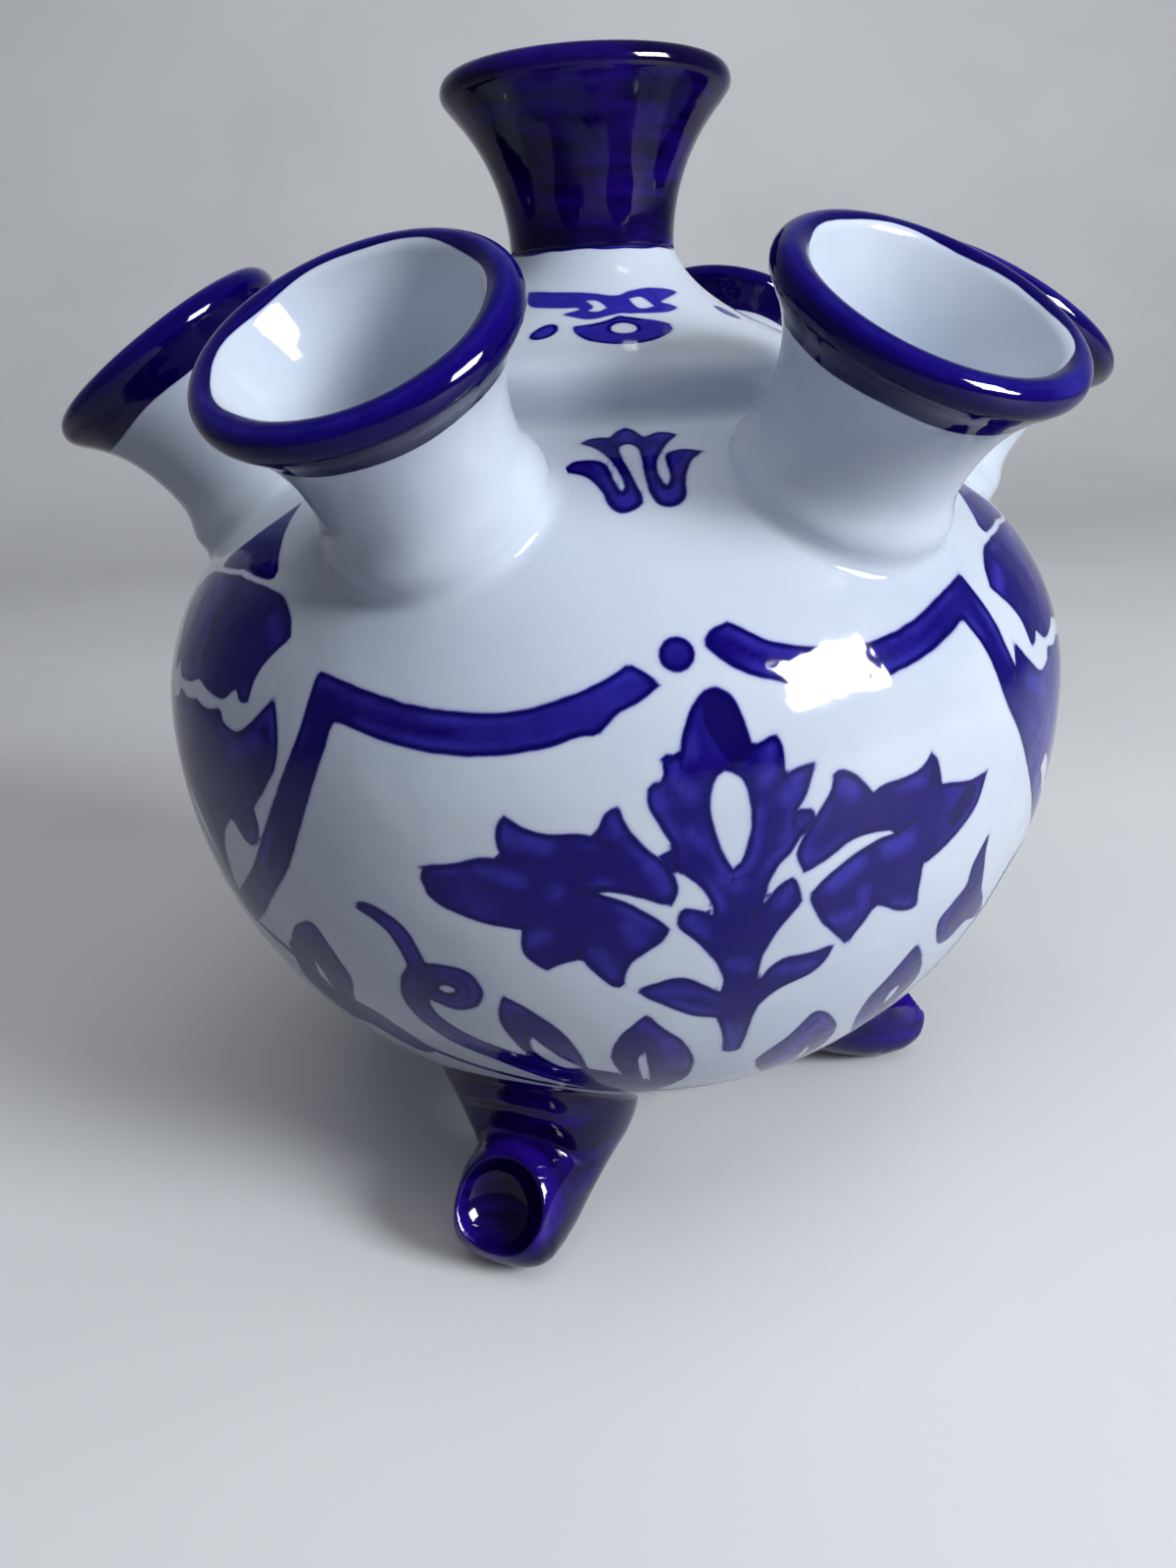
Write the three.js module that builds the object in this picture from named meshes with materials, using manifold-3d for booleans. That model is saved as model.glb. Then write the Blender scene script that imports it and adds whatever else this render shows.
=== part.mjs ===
// Tulip vase: a round hollow body on three scrolled feet, with a domed collar
// and seven trumpet spouts, luted together from separately formed clay pieces.
// Millimetres, +Z up, origin on the table under the body's axis, front at -Y.

import * as THREE from "three";
import { mergeVertices } from "three/addons/utils/BufferGeometryUtils.js";
import Module from "manifold-3d";

const wasm = await Module();
wasm.setup();

// Body
const bellyRadius = 75;
const standHeight = 14.6;
const undersideDrop = 71;
const shoulderRise = 49.3;
const fullness = 2.12;
const bodyWall = 5;
const bodyMouthRadius = 30;
const boreCutLength = 30;

// Domed collar that closes the body's mouth and carries the centre spout
const collarShare = 0.5;
const collarRise = 25.2;
const collarWall = 4.5;
const collarShoulderRadius = 21.3;
const collarShoulderDrop = 8.8;
const collarBulgeTuck = 0.5;
const collarBulgeShare = 0.45;
const collarCrownReach = 9.5;
const collarCrownDrop = 6;
const collarSweepReach = 4;
const collarSweepRise = 2.5;
const collarNeckReach = 1.2;
const collarNeckDrop = 3.3;

// Centre spout
const neckWaistRadius = 13;
const neckLength = 25.4;
const neckRimRadius = 22.4;
const neckWall = 4;

// Ring of leaning spouts, clear of the collar
const spoutCount = 6;
const firstSpoutAzimuth = -30;
const spoutTilt = 34.2;
const spoutStandoff = 3.5;
const spoutLength = 27.8;
const spoutRimRadius = 21;
const spoutWaistRadius = 14;
const spoutWaistHeight = 7.7;
const spoutBaseRadius = 15.8;
const spoutHeelHeight = 1;
const heelLowShare = 0.4;
const heelHighShare = 0.5;
const spoutWall = 4;

// Flare, bore and rolled lip that every spout has
const flareUprightShare = 0.4;
const flareSpreadShare = 0.5;
const flareTurnShare = 0.66;
const throatEase = 1.5;
const lipHalfThickness = 2.4;
const lipHalfHeight = 2.4;

// Feet: a broad knee under the body, a narrower ankle and a rounded, turned-up toe
const footCount = 3;
const firstFootAzimuth = -26;
const kneeShare = 0.533;
const kneeRise = 8.9;
const kneeHalfDepth = 17;
const ankleTuck = 2;
const ankleShare = 0.545;
const ankleHalfDepth = 10.4;
const heelKick = 1.5;
const heelHalfDepth = 9.4;
const heelHeight = 0.8;
const legBroadening = 0.06;
const toeKick = 10.5;
const toeHalfLength = 11.5;
const toeHalfBreadth = 10.9;
const toeHalfDepth = 9.6;
const toeLift = 35;
const toeHeight = 9.9;

// Thumb hollow pressed into the front of each toe
const hollowKick = 19;
const hollowHeight = 13.8;
const hollowHalfLength = 7.4;
const hollowHalfBreadth = 7;
const hollowHalfDepth = 6;
const hollowLean = 70;

// Joints between the luted pieces
const clearance = 0.3;
const seamWidth = 1.7;
const hiddenRoot = 6;

// Facets
const bodyFacets = 36;
const lowerRings = 10;
const upperRings = 8;
const innerLowerRings = 6;
const innerUpperRings = 5;
const leastRingAngle = 0.02;
const collarSteps = 3;
const spoutFacets = 18;
const spoutSteps = 5;
const spoutHeelSteps = 3;
const spoutLipSteps = 4;
const neckSteps = 8;
const neckLipSteps = 5;
const boreSteps = 3;
const footFacets = 14;
const flankSteps = 7;
const heelSteps = 4;
const eggRings = 8;
const weld = 1e-4;

// Colours and gloss of the glazes
const white = 0xd3d9e3;
const indigo = 0x1c0f5c;
const gloss = 0.1;

// Sizes that follow from the ones above
const bellyHeight = standHeight + undersideDrop;
const collarRadius = collarShare * bellyRadius;
const kneeReach = kneeShare * bellyRadius;

const radians = THREE.MathUtils.degToRad;
const point = (radius, height) => new THREE.Vector2(radius, height);


function glaze(color) {
  return new THREE.MeshStandardMaterial({ color, roughness: gloss, metalness: 0 });
}

// A closed geometry as a solid, without the slivers that a pole leaves.
function solidOf(geometry) {
  const bare = new THREE.BufferGeometry();
  bare.setAttribute("position", geometry.getAttribute("position"));
  bare.setIndex(geometry.index);
  const merged = mergeVertices(bare, weld);
  const corners = merged.index.array;
  const kept = [];
  for (let i = 0; i < corners.length; i += 3) {
    const [a, b, c] = [corners[i], corners[i + 1], corners[i + 2]];
    if (a !== b && b !== c && c !== a) kept.push(a, b, c);
  }
  return new wasm.Manifold(
    new wasm.Mesh({
      numProp: 3,
      vertProperties: merged.getAttribute("position").array,
      triVerts: new Uint32Array(kept),
    }),
  );
}

function geometryOf(solid) {
  const { vertProperties, triVerts } = solid.getMesh();
  const geometry = new THREE.BufferGeometry();
  const corners = new Float32Array(vertProperties);
  geometry.setAttribute("position", new THREE.BufferAttribute(corners, 3));
  geometry.setIndex(new THREE.BufferAttribute(new Uint32Array(triVerts), 1));
  geometry.computeVertexNormals();
  return geometry;
}

// A profile of radius and height, turned about the vertical axis.
function turned(profile, facets) {
  return new THREE.LatheGeometry(profile, facets).rotateX(Math.PI / 2);
}

// A profile moved outwards along its own normals.
function grown(profile, distance) {
  return profile.map((at, i) => {
    const before = profile[Math.max(i - 1, 0)];
    const after = profile[Math.min(i + 1, profile.length - 1)];
    const along = after.clone().sub(before).normalize();
    return point(Math.max(at.x + along.y * distance, 0), at.y - along.x * distance);
  });
}

// A profile closed to the axis at both ends, which turns into a full solid.
function filled(profile) {
  const bottom = profile[0];
  const top = profile[profile.length - 1];
  return [point(0, bottom.y), ...profile, point(0, top.y)];
}

// The angle at which a half outline of the body has drawn in to a radius.
function bodyAngle(radius, inset) {
  return Math.acos((radius / (bellyRadius - inset)) ** (fullness / 2));
}

// Height of the body's outer surface above its belly at a radius on the shoulder.
function shoulderHeight(radius) {
  return shoulderRise * Math.sin(bodyAngle(radius, 0)) ** (2 / fullness);
}

// Height above the table of the body's outer surface at a radius on the underside.
function undersideHeight(radius) {
  return bellyHeight - undersideDrop * Math.sin(bodyAngle(radius, 0)) ** (2 / fullness);
}

// One half of the body's outline: a superellipse from the belly in to a radius.
function bodyArc(rise, inset, steps, endRadius) {
  const endAngle = bodyAngle(endRadius, inset);
  const angles = Array.from({ length: steps }, (_, i) => (Math.PI / 2) * (i / steps));
  const reached = [...angles.filter((angle) => angle < endAngle - leastRingAngle), endAngle];
  return reached.map((angle) => {
    const radius = (bellyRadius - inset) * Math.cos(angle) ** (2 / fullness);
    const height = (rise - inset) * Math.sin(angle) ** (2 / fullness);
    return point(radius, height);
  });
}

// The body's outline from the bottom pole up to a radius on the shoulder.
function bodyOutline(inset, endRadius, lowerSteps, upperSteps) {
  const lower = bodyArc(undersideDrop, inset, lowerSteps, 0).reverse();
  const upper = bodyArc(shoulderRise, inset, upperSteps, endRadius).slice(1);
  const outline = [...lower.map((p) => point(p.x, -p.y)), ...upper];
  outline[0].x = 0;
  return outline.map((p) => point(p.x, p.y + bellyHeight));
}

// The whole outer form of the body, moved outwards, for cutting what is luted to it.
function bodyForm(distance) {
  const outline = bodyOutline(-distance, 0, lowerRings, upperRings);
  outline[outline.length - 1].x = 0;
  return solidOf(turned(outline, bodyFacets));
}

function bodyShell() {
  const outer = bodyOutline(0, bodyMouthRadius, lowerRings, upperRings);
  const innerMouth = bodyMouthRadius - bodyWall / 2;
  const inner = bodyOutline(bodyWall, innerMouth, innerLowerRings, innerUpperRings);
  const shell = solidOf(turned([...outer, ...inner.reverse()], bodyFacets));
  const bore = solidOf(
    new THREE.CylinderGeometry(spoutBoreRadius, spoutBoreRadius, boreCutLength, spoutFacets)
      .rotateX(Math.PI / 2)
      .applyMatrix4(spoutSeat),
  );
  return spoutAngles().reduce((solid, angle) => solid.subtract(bore.rotate([0, 0, angle])), shell);
}

// A flaring outer profile from a waist up to the underside of a rolled lip.
function flare(waistRadius, waistHeight, rimRadius, length, steps) {
  const rise = length - waistHeight;
  const spread = flareSpreadShare * (rimRadius - waistRadius);
  const curve = new THREE.CubicBezierCurve(
    point(waistRadius, waistHeight),
    point(waistRadius, waistHeight + flareUprightShare * rise),
    point(waistRadius + spread, waistHeight + flareTurnShare * rise),
    point(rimRadius, length - lipHalfHeight),
  );
  return curve.getPoints(steps);
}

// The rolled lip: a half ellipse over the top of the wall, from outside to inside.
function rolledLip(rimRadius, length, steps) {
  const lip = [];
  for (let i = 1; i < steps; i += 1) {
    const angle = (Math.PI * i) / steps;
    const radius = rimRadius - lipHalfThickness * (1 - Math.cos(angle));
    lip.push(point(radius, length - lipHalfHeight * (1 - Math.sin(angle))));
  }
  return lip;
}

// The bore below the lip, from the mouth down to the root.
function boreProfile(rimRadius, length, waistRadius, waistHeight, wall, rootHeight) {
  const mouth = point(rimRadius - 2 * lipHalfThickness, length - lipHalfHeight);
  const curve = new THREE.QuadraticBezierCurve(
    mouth,
    point(waistRadius - wall + throatEase, (mouth.y + waistHeight) / 2),
    point(waistRadius - wall, waistHeight),
  );
  return [...curve.getPoints(boreSteps), point(waistRadius - wall, rootHeight)];
}

// Centre spout, luted on top of the collar.
const neckSeatHeight = bellyHeight + shoulderHeight(collarRadius) + collarRise;

function centreSpout() {
  const base = neckSeatHeight + clearance;
  const throatHeight = neckLength / 4;
  const outer = flare(neckWaistRadius, 0, neckRimRadius, neckLength, neckSteps);
  const lip = rolledLip(neckRimRadius, neckLength, neckLipSteps);
  const bore = boreProfile(
    neckRimRadius,
    neckLength,
    neckWaistRadius,
    throatHeight,
    neckWall,
    0,
  );
  const profile = [...outer, ...lip, ...bore, outer[0]];
  return turned(profile, spoutFacets).translate(0, 0, base);
}

// The collar's outer curve: a steep bulging side, then a hollow sweep up to the centre spout.
function collarProfile() {
  const base = bellyHeight + shoulderHeight(collarRadius);
  const top = neckSeatHeight;
  const shoulder = point(collarShoulderRadius, top - collarShoulderDrop);
  const bulge = new THREE.CubicBezierCurve(
    point(collarRadius, base),
    point(collarRadius - collarBulgeTuck, base + collarBulgeShare * (shoulder.y - base)),
    point(collarShoulderRadius + collarCrownReach, shoulder.y - collarCrownDrop),
    shoulder,
  );
  const sweep = new THREE.CubicBezierCurve(
    shoulder,
    point(collarShoulderRadius - collarSweepReach, shoulder.y + collarSweepRise),
    point(neckWaistRadius + collarNeckReach, top - collarNeckDrop),
    point(neckWaistRadius, top),
  );
  return [...bulge.getPoints(collarSteps), ...sweep.getPoints(collarSteps).slice(1)];
}

function collarForm(distance) {
  const outline = grown(collarProfile(), distance);
  const root = point(outline[0].x, outline[0].y - hiddenRoot);
  return solidOf(turned(filled([root, ...outline]), bodyFacets));
}

function collar() {
  const outer = collarProfile();
  const root = point(collarRadius, outer[0].y - hiddenRoot);
  const hollow = grown(outer, -collarWall).filter((p) => p.x > neckWaistRadius - neckWall);
  const throat = point(neckWaistRadius - neckWall, neckSeatHeight);
  const throatFoot = point(throat.x, hollow[hollow.length - 1].y);
  const hollowRoot = point(collarRadius - collarWall, root.y);
  const inner = [hollowRoot, ...hollow, throatFoot, throat].reverse();
  return solidOf(turned([root, ...outer, ...inner, root], bodyFacets)).subtract(bodyForm(clearance));
}

// A leaning spout stands on the body where its own axis meets the shoulder.
const spoutBoreRadius = spoutWaistRadius - spoutWall;
const spoutSeatRadius =
  collarRadius + spoutStandoff + spoutBaseRadius * Math.cos(radians(spoutTilt));
const spoutSeat = new THREE.Matrix4()
  .makeTranslation(spoutSeatRadius, 0, bellyHeight + shoulderHeight(spoutSeatRadius))
  .multiply(new THREE.Matrix4().makeRotationY(radians(spoutTilt)));

function spoutOuter() {
  const heel = new THREE.CubicBezierCurve(
    point(spoutBaseRadius, spoutHeelHeight),
    point(spoutBaseRadius, heelLowShare * spoutWaistHeight),
    point(spoutWaistRadius, heelHighShare * spoutWaistHeight),
    point(spoutWaistRadius, spoutWaistHeight),
  );
  const trumpet = flare(
    spoutWaistRadius,
    spoutWaistHeight,
    spoutRimRadius,
    spoutLength,
    spoutSteps,
  );
  const root = point(spoutBaseRadius, -hiddenRoot);
  return [root, ...heel.getPoints(spoutHeelSteps), ...trumpet.slice(1)];
}

function spoutForm(distance) {
  return solidOf(turned(filled(grown(spoutOuter(), distance)), spoutFacets).applyMatrix4(spoutSeat));
}

function leaningSpout() {
  const outer = spoutOuter();
  const lip = rolledLip(spoutRimRadius, spoutLength, spoutLipSteps);
  const bore = boreProfile(
    spoutRimRadius,
    spoutLength,
    spoutWaistRadius,
    spoutWaistHeight,
    spoutWall,
    -hiddenRoot,
  );
  const blank = turned([...outer, ...lip, ...bore, outer[0]], spoutFacets).applyMatrix4(spoutSeat);
  return solidOf(blank).subtract(bodyForm(clearance));
}

// The leg's spine, seen from the side: from inside the body down to the heel.
const kneeHeight = undersideHeight(kneeReach) + kneeRise;
const ankleHeight = ankleShare * kneeHeight;
const legRoot = 2 * hiddenRoot;
const legSpine = new THREE.SplineCurve([
  point(kneeReach, kneeHeight + legRoot),
  point(kneeReach, kneeHeight),
  point(kneeReach - ankleTuck, ankleHeight),
  point(kneeReach + heelKick, heelHeight),
]);

// Half depths of the leg from its hidden root down to a rounded heel.
function legProfile(distance) {
  const length = legSpine.getLength();
  const ankle = legRoot + kneeHeight - ankleHeight;
  const flank = new THREE.SplineCurve([
    point(kneeHalfDepth, 0),
    point(kneeHalfDepth, legRoot),
    point((kneeHalfDepth + ankleHalfDepth) / 2, (legRoot + ankle) / 2),
    point(ankleHalfDepth, ankle),
    point(heelHalfDepth, length - heelHalfDepth),
  ]).getPoints(flankSteps);
  const heel = [];
  for (let i = 1; i <= heelSteps; i += 1) {
    const angle = (Math.PI / 2) * (i / heelSteps);
    const above = heelHalfDepth * (1 - Math.sin(angle));
    heel.push(point(heelHalfDepth * Math.cos(angle), length - above));
  }
  const outline = [...flank, ...heel].map((p) => point(p.x + distance, p.y));
  outline[outline.length - 1].x = 0;
  return [point(0, 0), ...outline];
}

// A turned blank bent along the leg's spine.
function legForm(distance) {
  const length = legSpine.getLength();
  const blank = turned(legProfile(distance), footFacets);
  const position = blank.getAttribute("position");
  for (let i = 0; i < position.count; i += 1) {
    const share = THREE.MathUtils.clamp(position.getZ(i) / length, 0, 1);
    const at = legSpine.getPointAt(share);
    const along = legSpine.getTangentAt(share);
    const depth = position.getX(i);
    const breadth = position.getY(i) * (1 + legBroadening);
    position.setXYZ(i, at.x - along.y * depth, -breadth, at.y + along.x * depth);
  }
  return solidOf(blank);
}

// An ellipsoid whose long axis rises outwards by a tilt.
function eggForm(halfLength, halfBreadth, halfDepth, reach, height, tilt) {
  const egg = new THREE.SphereGeometry(1, footFacets, eggRings).rotateX(Math.PI / 2);
  egg.scale(halfLength, halfBreadth, halfDepth).rotateY(-radians(tilt));
  return solidOf(egg.translate(reach, 0, height));
}

function toeForm() {
  const reach = kneeReach + toeKick;
  return eggForm(toeHalfLength, toeHalfBreadth, toeHalfDepth, reach, toeHeight, toeLift);
}

function thumbHollow() {
  return eggForm(
    hollowHalfLength,
    hollowHalfBreadth,
    hollowHalfDepth,
    kneeReach + hollowKick,
    hollowHeight,
    -hollowLean,
  );
}

function belowTable() {
  const side = 4 * bellyRadius;
  return solidOf(new THREE.BoxGeometry(side, side, side).translate(0, 0, -side / 2));
}

function foot() {
  const scroll = legForm(0).add(toeForm()).subtract(thumbHollow());
  return scroll.subtract(belowTable()).subtract(bodyForm(clearance));
}

// The roll of slip in the corner between the body and a piece luted to it.
function slipSeam(form) {
  const corner = form(seamWidth).intersect(bodyForm(seamWidth));
  return corner.subtract(form(clearance)).subtract(bodyForm(clearance));
}

// Turns from +X that put equally spaced copies at azimuths counted from the front, at -Y.
function turnsOf(count, firstAzimuth) {
  const step = 360 / count;
  return Array.from({ length: count }, (_, i) => firstAzimuth - 90 + step * i);
}

function spoutAngles() {
  return turnsOf(spoutCount, firstSpoutAzimuth);
}

function footAngles() {
  return turnsOf(footCount, firstFootAzimuth);
}

const vase = new THREE.Group();

function place(name, geometry, material, turn = 0) {
  const mesh = new THREE.Mesh(geometry, material);
  mesh.name = name;
  mesh.rotation.z = radians(turn);
  vase.add(mesh);
}

place("body_globe", geometryOf(bodyShell()), glaze(white));
place("domed_collar", geometryOf(collar()), glaze(white));
place("collar_slip_seam", geometryOf(slipSeam(collarForm)), glaze(white));
place("centre_spout", centreSpout(), glaze(indigo));

const spoutGeometry = geometryOf(leaningSpout());
const collarSeamForm = collarForm(seamWidth + clearance);
const spoutSeamGeometry = geometryOf(slipSeam(spoutForm).subtract(collarSeamForm));
spoutAngles().forEach((angle, i) => {
  place(`leaning_spout_${i + 1}`, spoutGeometry, glaze(white), angle);
  place(`spout_slip_seam_${i + 1}`, spoutSeamGeometry, glaze(white), angle);
});

const footGeometry = geometryOf(foot());
const footSeamGeometry = geometryOf(slipSeam(legForm));
footAngles().forEach((angle, i) => {
  place(`scroll_foot_${i + 1}`, footGeometry, glaze(indigo), angle);
  place(`foot_slip_seam_${i + 1}`, footSeamGeometry, glaze(indigo), angle);
});

export default vase;
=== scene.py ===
"""A tulip vase in blue and white: a round body on three scrolled feet, a domed collar with
a centre spout, and six leaning trumpet spouts round it. Metres, +Z up, front at -Y."""

import math

import bpy
import numpy as np
from mathutils import Matrix


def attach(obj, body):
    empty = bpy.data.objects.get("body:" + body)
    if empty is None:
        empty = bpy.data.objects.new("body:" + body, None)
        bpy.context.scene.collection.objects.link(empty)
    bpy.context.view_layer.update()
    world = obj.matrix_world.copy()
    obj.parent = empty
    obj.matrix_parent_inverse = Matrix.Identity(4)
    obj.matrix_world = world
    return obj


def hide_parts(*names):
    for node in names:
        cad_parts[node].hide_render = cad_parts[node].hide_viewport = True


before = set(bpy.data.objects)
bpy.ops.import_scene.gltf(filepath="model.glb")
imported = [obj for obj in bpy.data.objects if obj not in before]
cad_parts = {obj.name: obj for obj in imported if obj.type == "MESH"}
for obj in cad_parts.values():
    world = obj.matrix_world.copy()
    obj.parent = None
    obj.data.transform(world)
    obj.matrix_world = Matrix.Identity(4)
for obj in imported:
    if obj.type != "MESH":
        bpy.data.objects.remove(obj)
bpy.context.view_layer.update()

bl_info = {
    "name": "Tulip Vase",
    "version": (1, 0, 0),
    "blender": (4, 5, 0),
    "location": "3D View > Sidebar > Tulip Vase",
    "description": "Builds a painted and glazed tulip vase piece by piece",
    "category": "Add Mesh",
}

MM = 0.001
# The most that a mark on the mesh says of a depth in the paint, in millimetres.
REACH = 4.0
UNPAINTED = {"paint": -REACH, "touch": -REACH}
SOLID_PAINT = {"paint": REACH, "touch": -REACH}
PANELS = 3
PANEL_DEGREES = 360 / PANELS
SPOUT_AZIMUTH = -30
SPOUTS = 6

# How far up and down from the belly the ornament reaches, and the mesh is fine enough to carry it.
ORNAMENT_REACH = 66 * MM
FINE_RING, COARSE_RING = 0.88 * MM, 3 * MM
# How many points go round the body, and how many do below each height in millimetres.
FULL_ROUND = 540
SPARSE_ROUNDS = [(-104, 60), (-88, 120), (-67, 270)]
INNER_ROUND = 120
# The two poles of the body lie this far below the rings next to them.
POLE_DROP, INNER_POLE_DROP = 0.2 * MM, 0.3 * MM

# A roll of slip: its ends run on in tails sunk under the two surfaces, the sweep between them lies
# a hair proud, and its root lies down in the body and in towards the tube.
ROLL_TAIL = 1.2 * MM
ROLL_PROUD, ROLL_SUNK = 0.01 * MM, 0.05 * MM
ROLL_ROOT_DOWN, ROLL_ROOT_IN = 0.8 * MM, 0.3 * MM

# The radius where the collar's rise is measured from, and how deep its foot goes into the body.
COLLAR_BASE = 37.5 * MM
COLLAR_FOOT = 2.4 * MM
# The groove under a spout's lip: in from the lip's radius, and down from its top.
GROOVE_IN, GROOVE_DOWN = 1.5 * MM, 5.1 * MM
# How deep below the body's surface a leaning spout's root, its liner and the liner's shoulder go.
ROOT_DEPTH, LINER_DEPTH, LINER_SHOULDER = 4.6 * MM, 8.5 * MM, 5.4 * MM


# Ornament of one panel of the body. Every outline is a list of runs, every run is smooth,
# and a corner stands where the next run begins. Points are degrees round from the panel's
# middle and millimetres up the body's surface from the belly.

LEFT_LEAF_TOP = [
    [(-26.2, -6.2), (-24.5, -5.6), (-22.2, -5.2), (-19.6, -4.2)],
    [(-17.4, -4.1), (-17.7, -1.9), (-17.5, 0.3)],
    [(-16.6, 1.7), (-15.7, 0.7), (-14.3, -0.2), (-12.3, -0.9), (-10.2, -0.7)],
    [(-8.7, -1.1), (-8, -0.2), (-7.4, 1.4), (-6.7, 2.3)],
    [(-5.9, 2.6), (-5.4, 0.6), (-4.6, -1.3), (-3.5, -3.1)],
    [(-2.2, -4.6), (-1.2, -6.3), (-0.6, -9.1)],
    [(-1.1, -11.7), (-2.3, -11.2), (-4.1, -10.1), (-6, -9.3)],
    [(-7.7, -8.9), (-11.7, -11.6)],
    [(-16.1, -14.7), (-17.3, -14.4), (-19.5, -14), (-21.7, -13.1), (-23.9, -11.9), (-25.4, -10.3)],
    [(-25.6, -9.2), (-26, -8.2), (-25.8, -7.2)],
]
LEFT_LEAF_FOOT = [
    [(-7.8, -9.2), (-6, -10.2), (-4.2, -11.6), (-2.3, -13.6)],
    [(-1.4, -14.9), (-2.1, -16.7), (-3.8, -18.5), (-5.6, -20.7)],
    [(-6.2, -24.5), (-7.4, -24.3), (-8.6, -22.7), (-9.6, -20.9)],
    [(-10.3, -19.3), (-11.7, -19.8), (-13, -20.5)],
    [(-14.1, -21.4), (-15.1, -20.3), (-16.2, -18.7), (-16.4, -16.7)],
    [(-16.1, -14.7), (-16.2, -11)],
    [(-13.3, -7.3), (-10, -6.7)],
]
FLOWER = [
    [(3.8, 16.2), (5.3, 14.9), (6.2, 12.3)],
    [(6.9, 8.7), (8, 9.1)],
    [(9.2, 9.8), (9.8, 8)],
    [(10, 4.7), (11.6, 5.4)],
    [(13.2, 5.6), (12.5, 3.2), (12, 1.4)],
    [(11.2, -0.1), (11, -2), (11.4, -3.9)],
    [(10.6, -5.9), (9.3, -7.5), (8.5, -9.4), (8.1, -11.4)],
    [(7.9, -12.7), (8.7, -11.2), (9.5, -10.1)],
    [(10.9, -9.3), (11.7, -11.3)],
    [(12.1, -13.5), (10.9, -15.4), (9.3, -18.4), (8.3, -22)],
    [(8.2, -26.3), (9.1, -23.8), (10.8, -22.3), (13.4, -22.3)],
    [(16.7, -21.7), (16.2, -24.3), (14.5, -26.6), (11.2, -28.2), (9.2, -30.7), (8.6, -33.5), (8.5, -37.1)],
    [(8.4, -42.6), (7.1, -42.9)],
    [(5.9, -42.2), (5.2, -37.3)],
    [(4, -32.4), (1.3, -31.4), (-1.7, -28.8), (-3.9, -26.7)],
    [(-5.2, -25), (-3.2, -24), (-0.8, -23.2), (1.3, -24.1)],
    [(4.1, -27), (4.2, -24.6), (3.3, -21.4), (1.3, -17.7)],
    [(-0.9, -14.6), (-0.7, -12.6)],
    [(-0.2, -11.8), (1.6, -12.4)],
    [(2.8, -13.3), (2.6, -12), (1.9, -9.9), (0.4, -7.7)],
    [(-0.9, -6.2), (-1.2, -4.8)],
    [(-1.1, -3.2), (-2.1, -0.8), (-3.2, 2)],
    [(-3.4, 4.3), (-2.8, 5.2)],
    [(-1.9, 5.4), (-1.7, 6.5)],
    [(-2, 7.9), (-1.2, 8.6)],
    [(-0.2, 8.3), (0.2, 10.6), (1.1, 13.5), (2.4, 15.6)],
]
FLOWER_EYE = [
    [(4.2, 5.8), (3.3, 5.2), (2.8, 3.6), (2.6, 1.6), (2.9, -1), (3.6, -4.1)],
    [(4.7, -6.9), (5.5, -5.8), (6.1, -3.2), (6.4, -0.7), (6.2, 2.3), (5.6, 4.6)],
]
RIGHT_LEAF_TOP = [
    [(14.7, 3.9), (15.9, 4), (17.2, 3.2), (18.3, 1.8)],
    [(19.3, 0.2), (20.3, 0.8), (21.8, 1.1), (24, 1.3), (25.6, 2.1)],
    [(26.8, 3.7), (27.7, 2)],
    [(28.4, -1.3), (30.4, -1.7), (33.2, -2.2)],
    [(36, -1.8), (35.4, -3.8), (34.6, -6.4), (32.8, -8.6), (30.7, -10.4), (28.6, -11.8)],
    [(27, -12.6), (24.1, -9.8)],
    [(21.8, -5.9), (19.4, -5.5), (17.1, -5.9), (15, -7.4), (13.2, -8.6)],
    [(11.9, -9.2), (11, -6.4), (11.5, -4.4), (12.5, -2.3), (13.2, -0.9), (14, 0.6), (14.6, 2.2)],
]
RIGHT_LEAF_FOOT = [
    [(21.8, -6.3), (20.7, -6.4), (18.7, -7.2), (16.2, -8.7), (14.1, -10.7)],
    [(12.7, -12.5), (13.2, -14.5), (14.4, -17.2), (16.2, -19.8)],
    [(18.4, -22.8), (19.1, -20.9), (20.1, -19.1)],
    [(20.9, -16.9), (22, -17.4), (23.9, -18.8), (26.3, -19.8)],
    [(27.5, -19.3), (27.1, -17), (27, -14.6)],
    [(26.9, -12.7), (27.6, -9.6)],
    [(25.7, -5.7)],
]
LINK = [[(10.6, 0)], [(12.6, -0.3)], [(13.2, -1.6)], [(11.9, -3.8)], [(10.6, -3.8)]]
BRIDGE = [[(-2.7, -4.3)], [(-0.9, -3.2)], [(-0.3, -6.7)], [(-1.6, -7.2)]]
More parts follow.
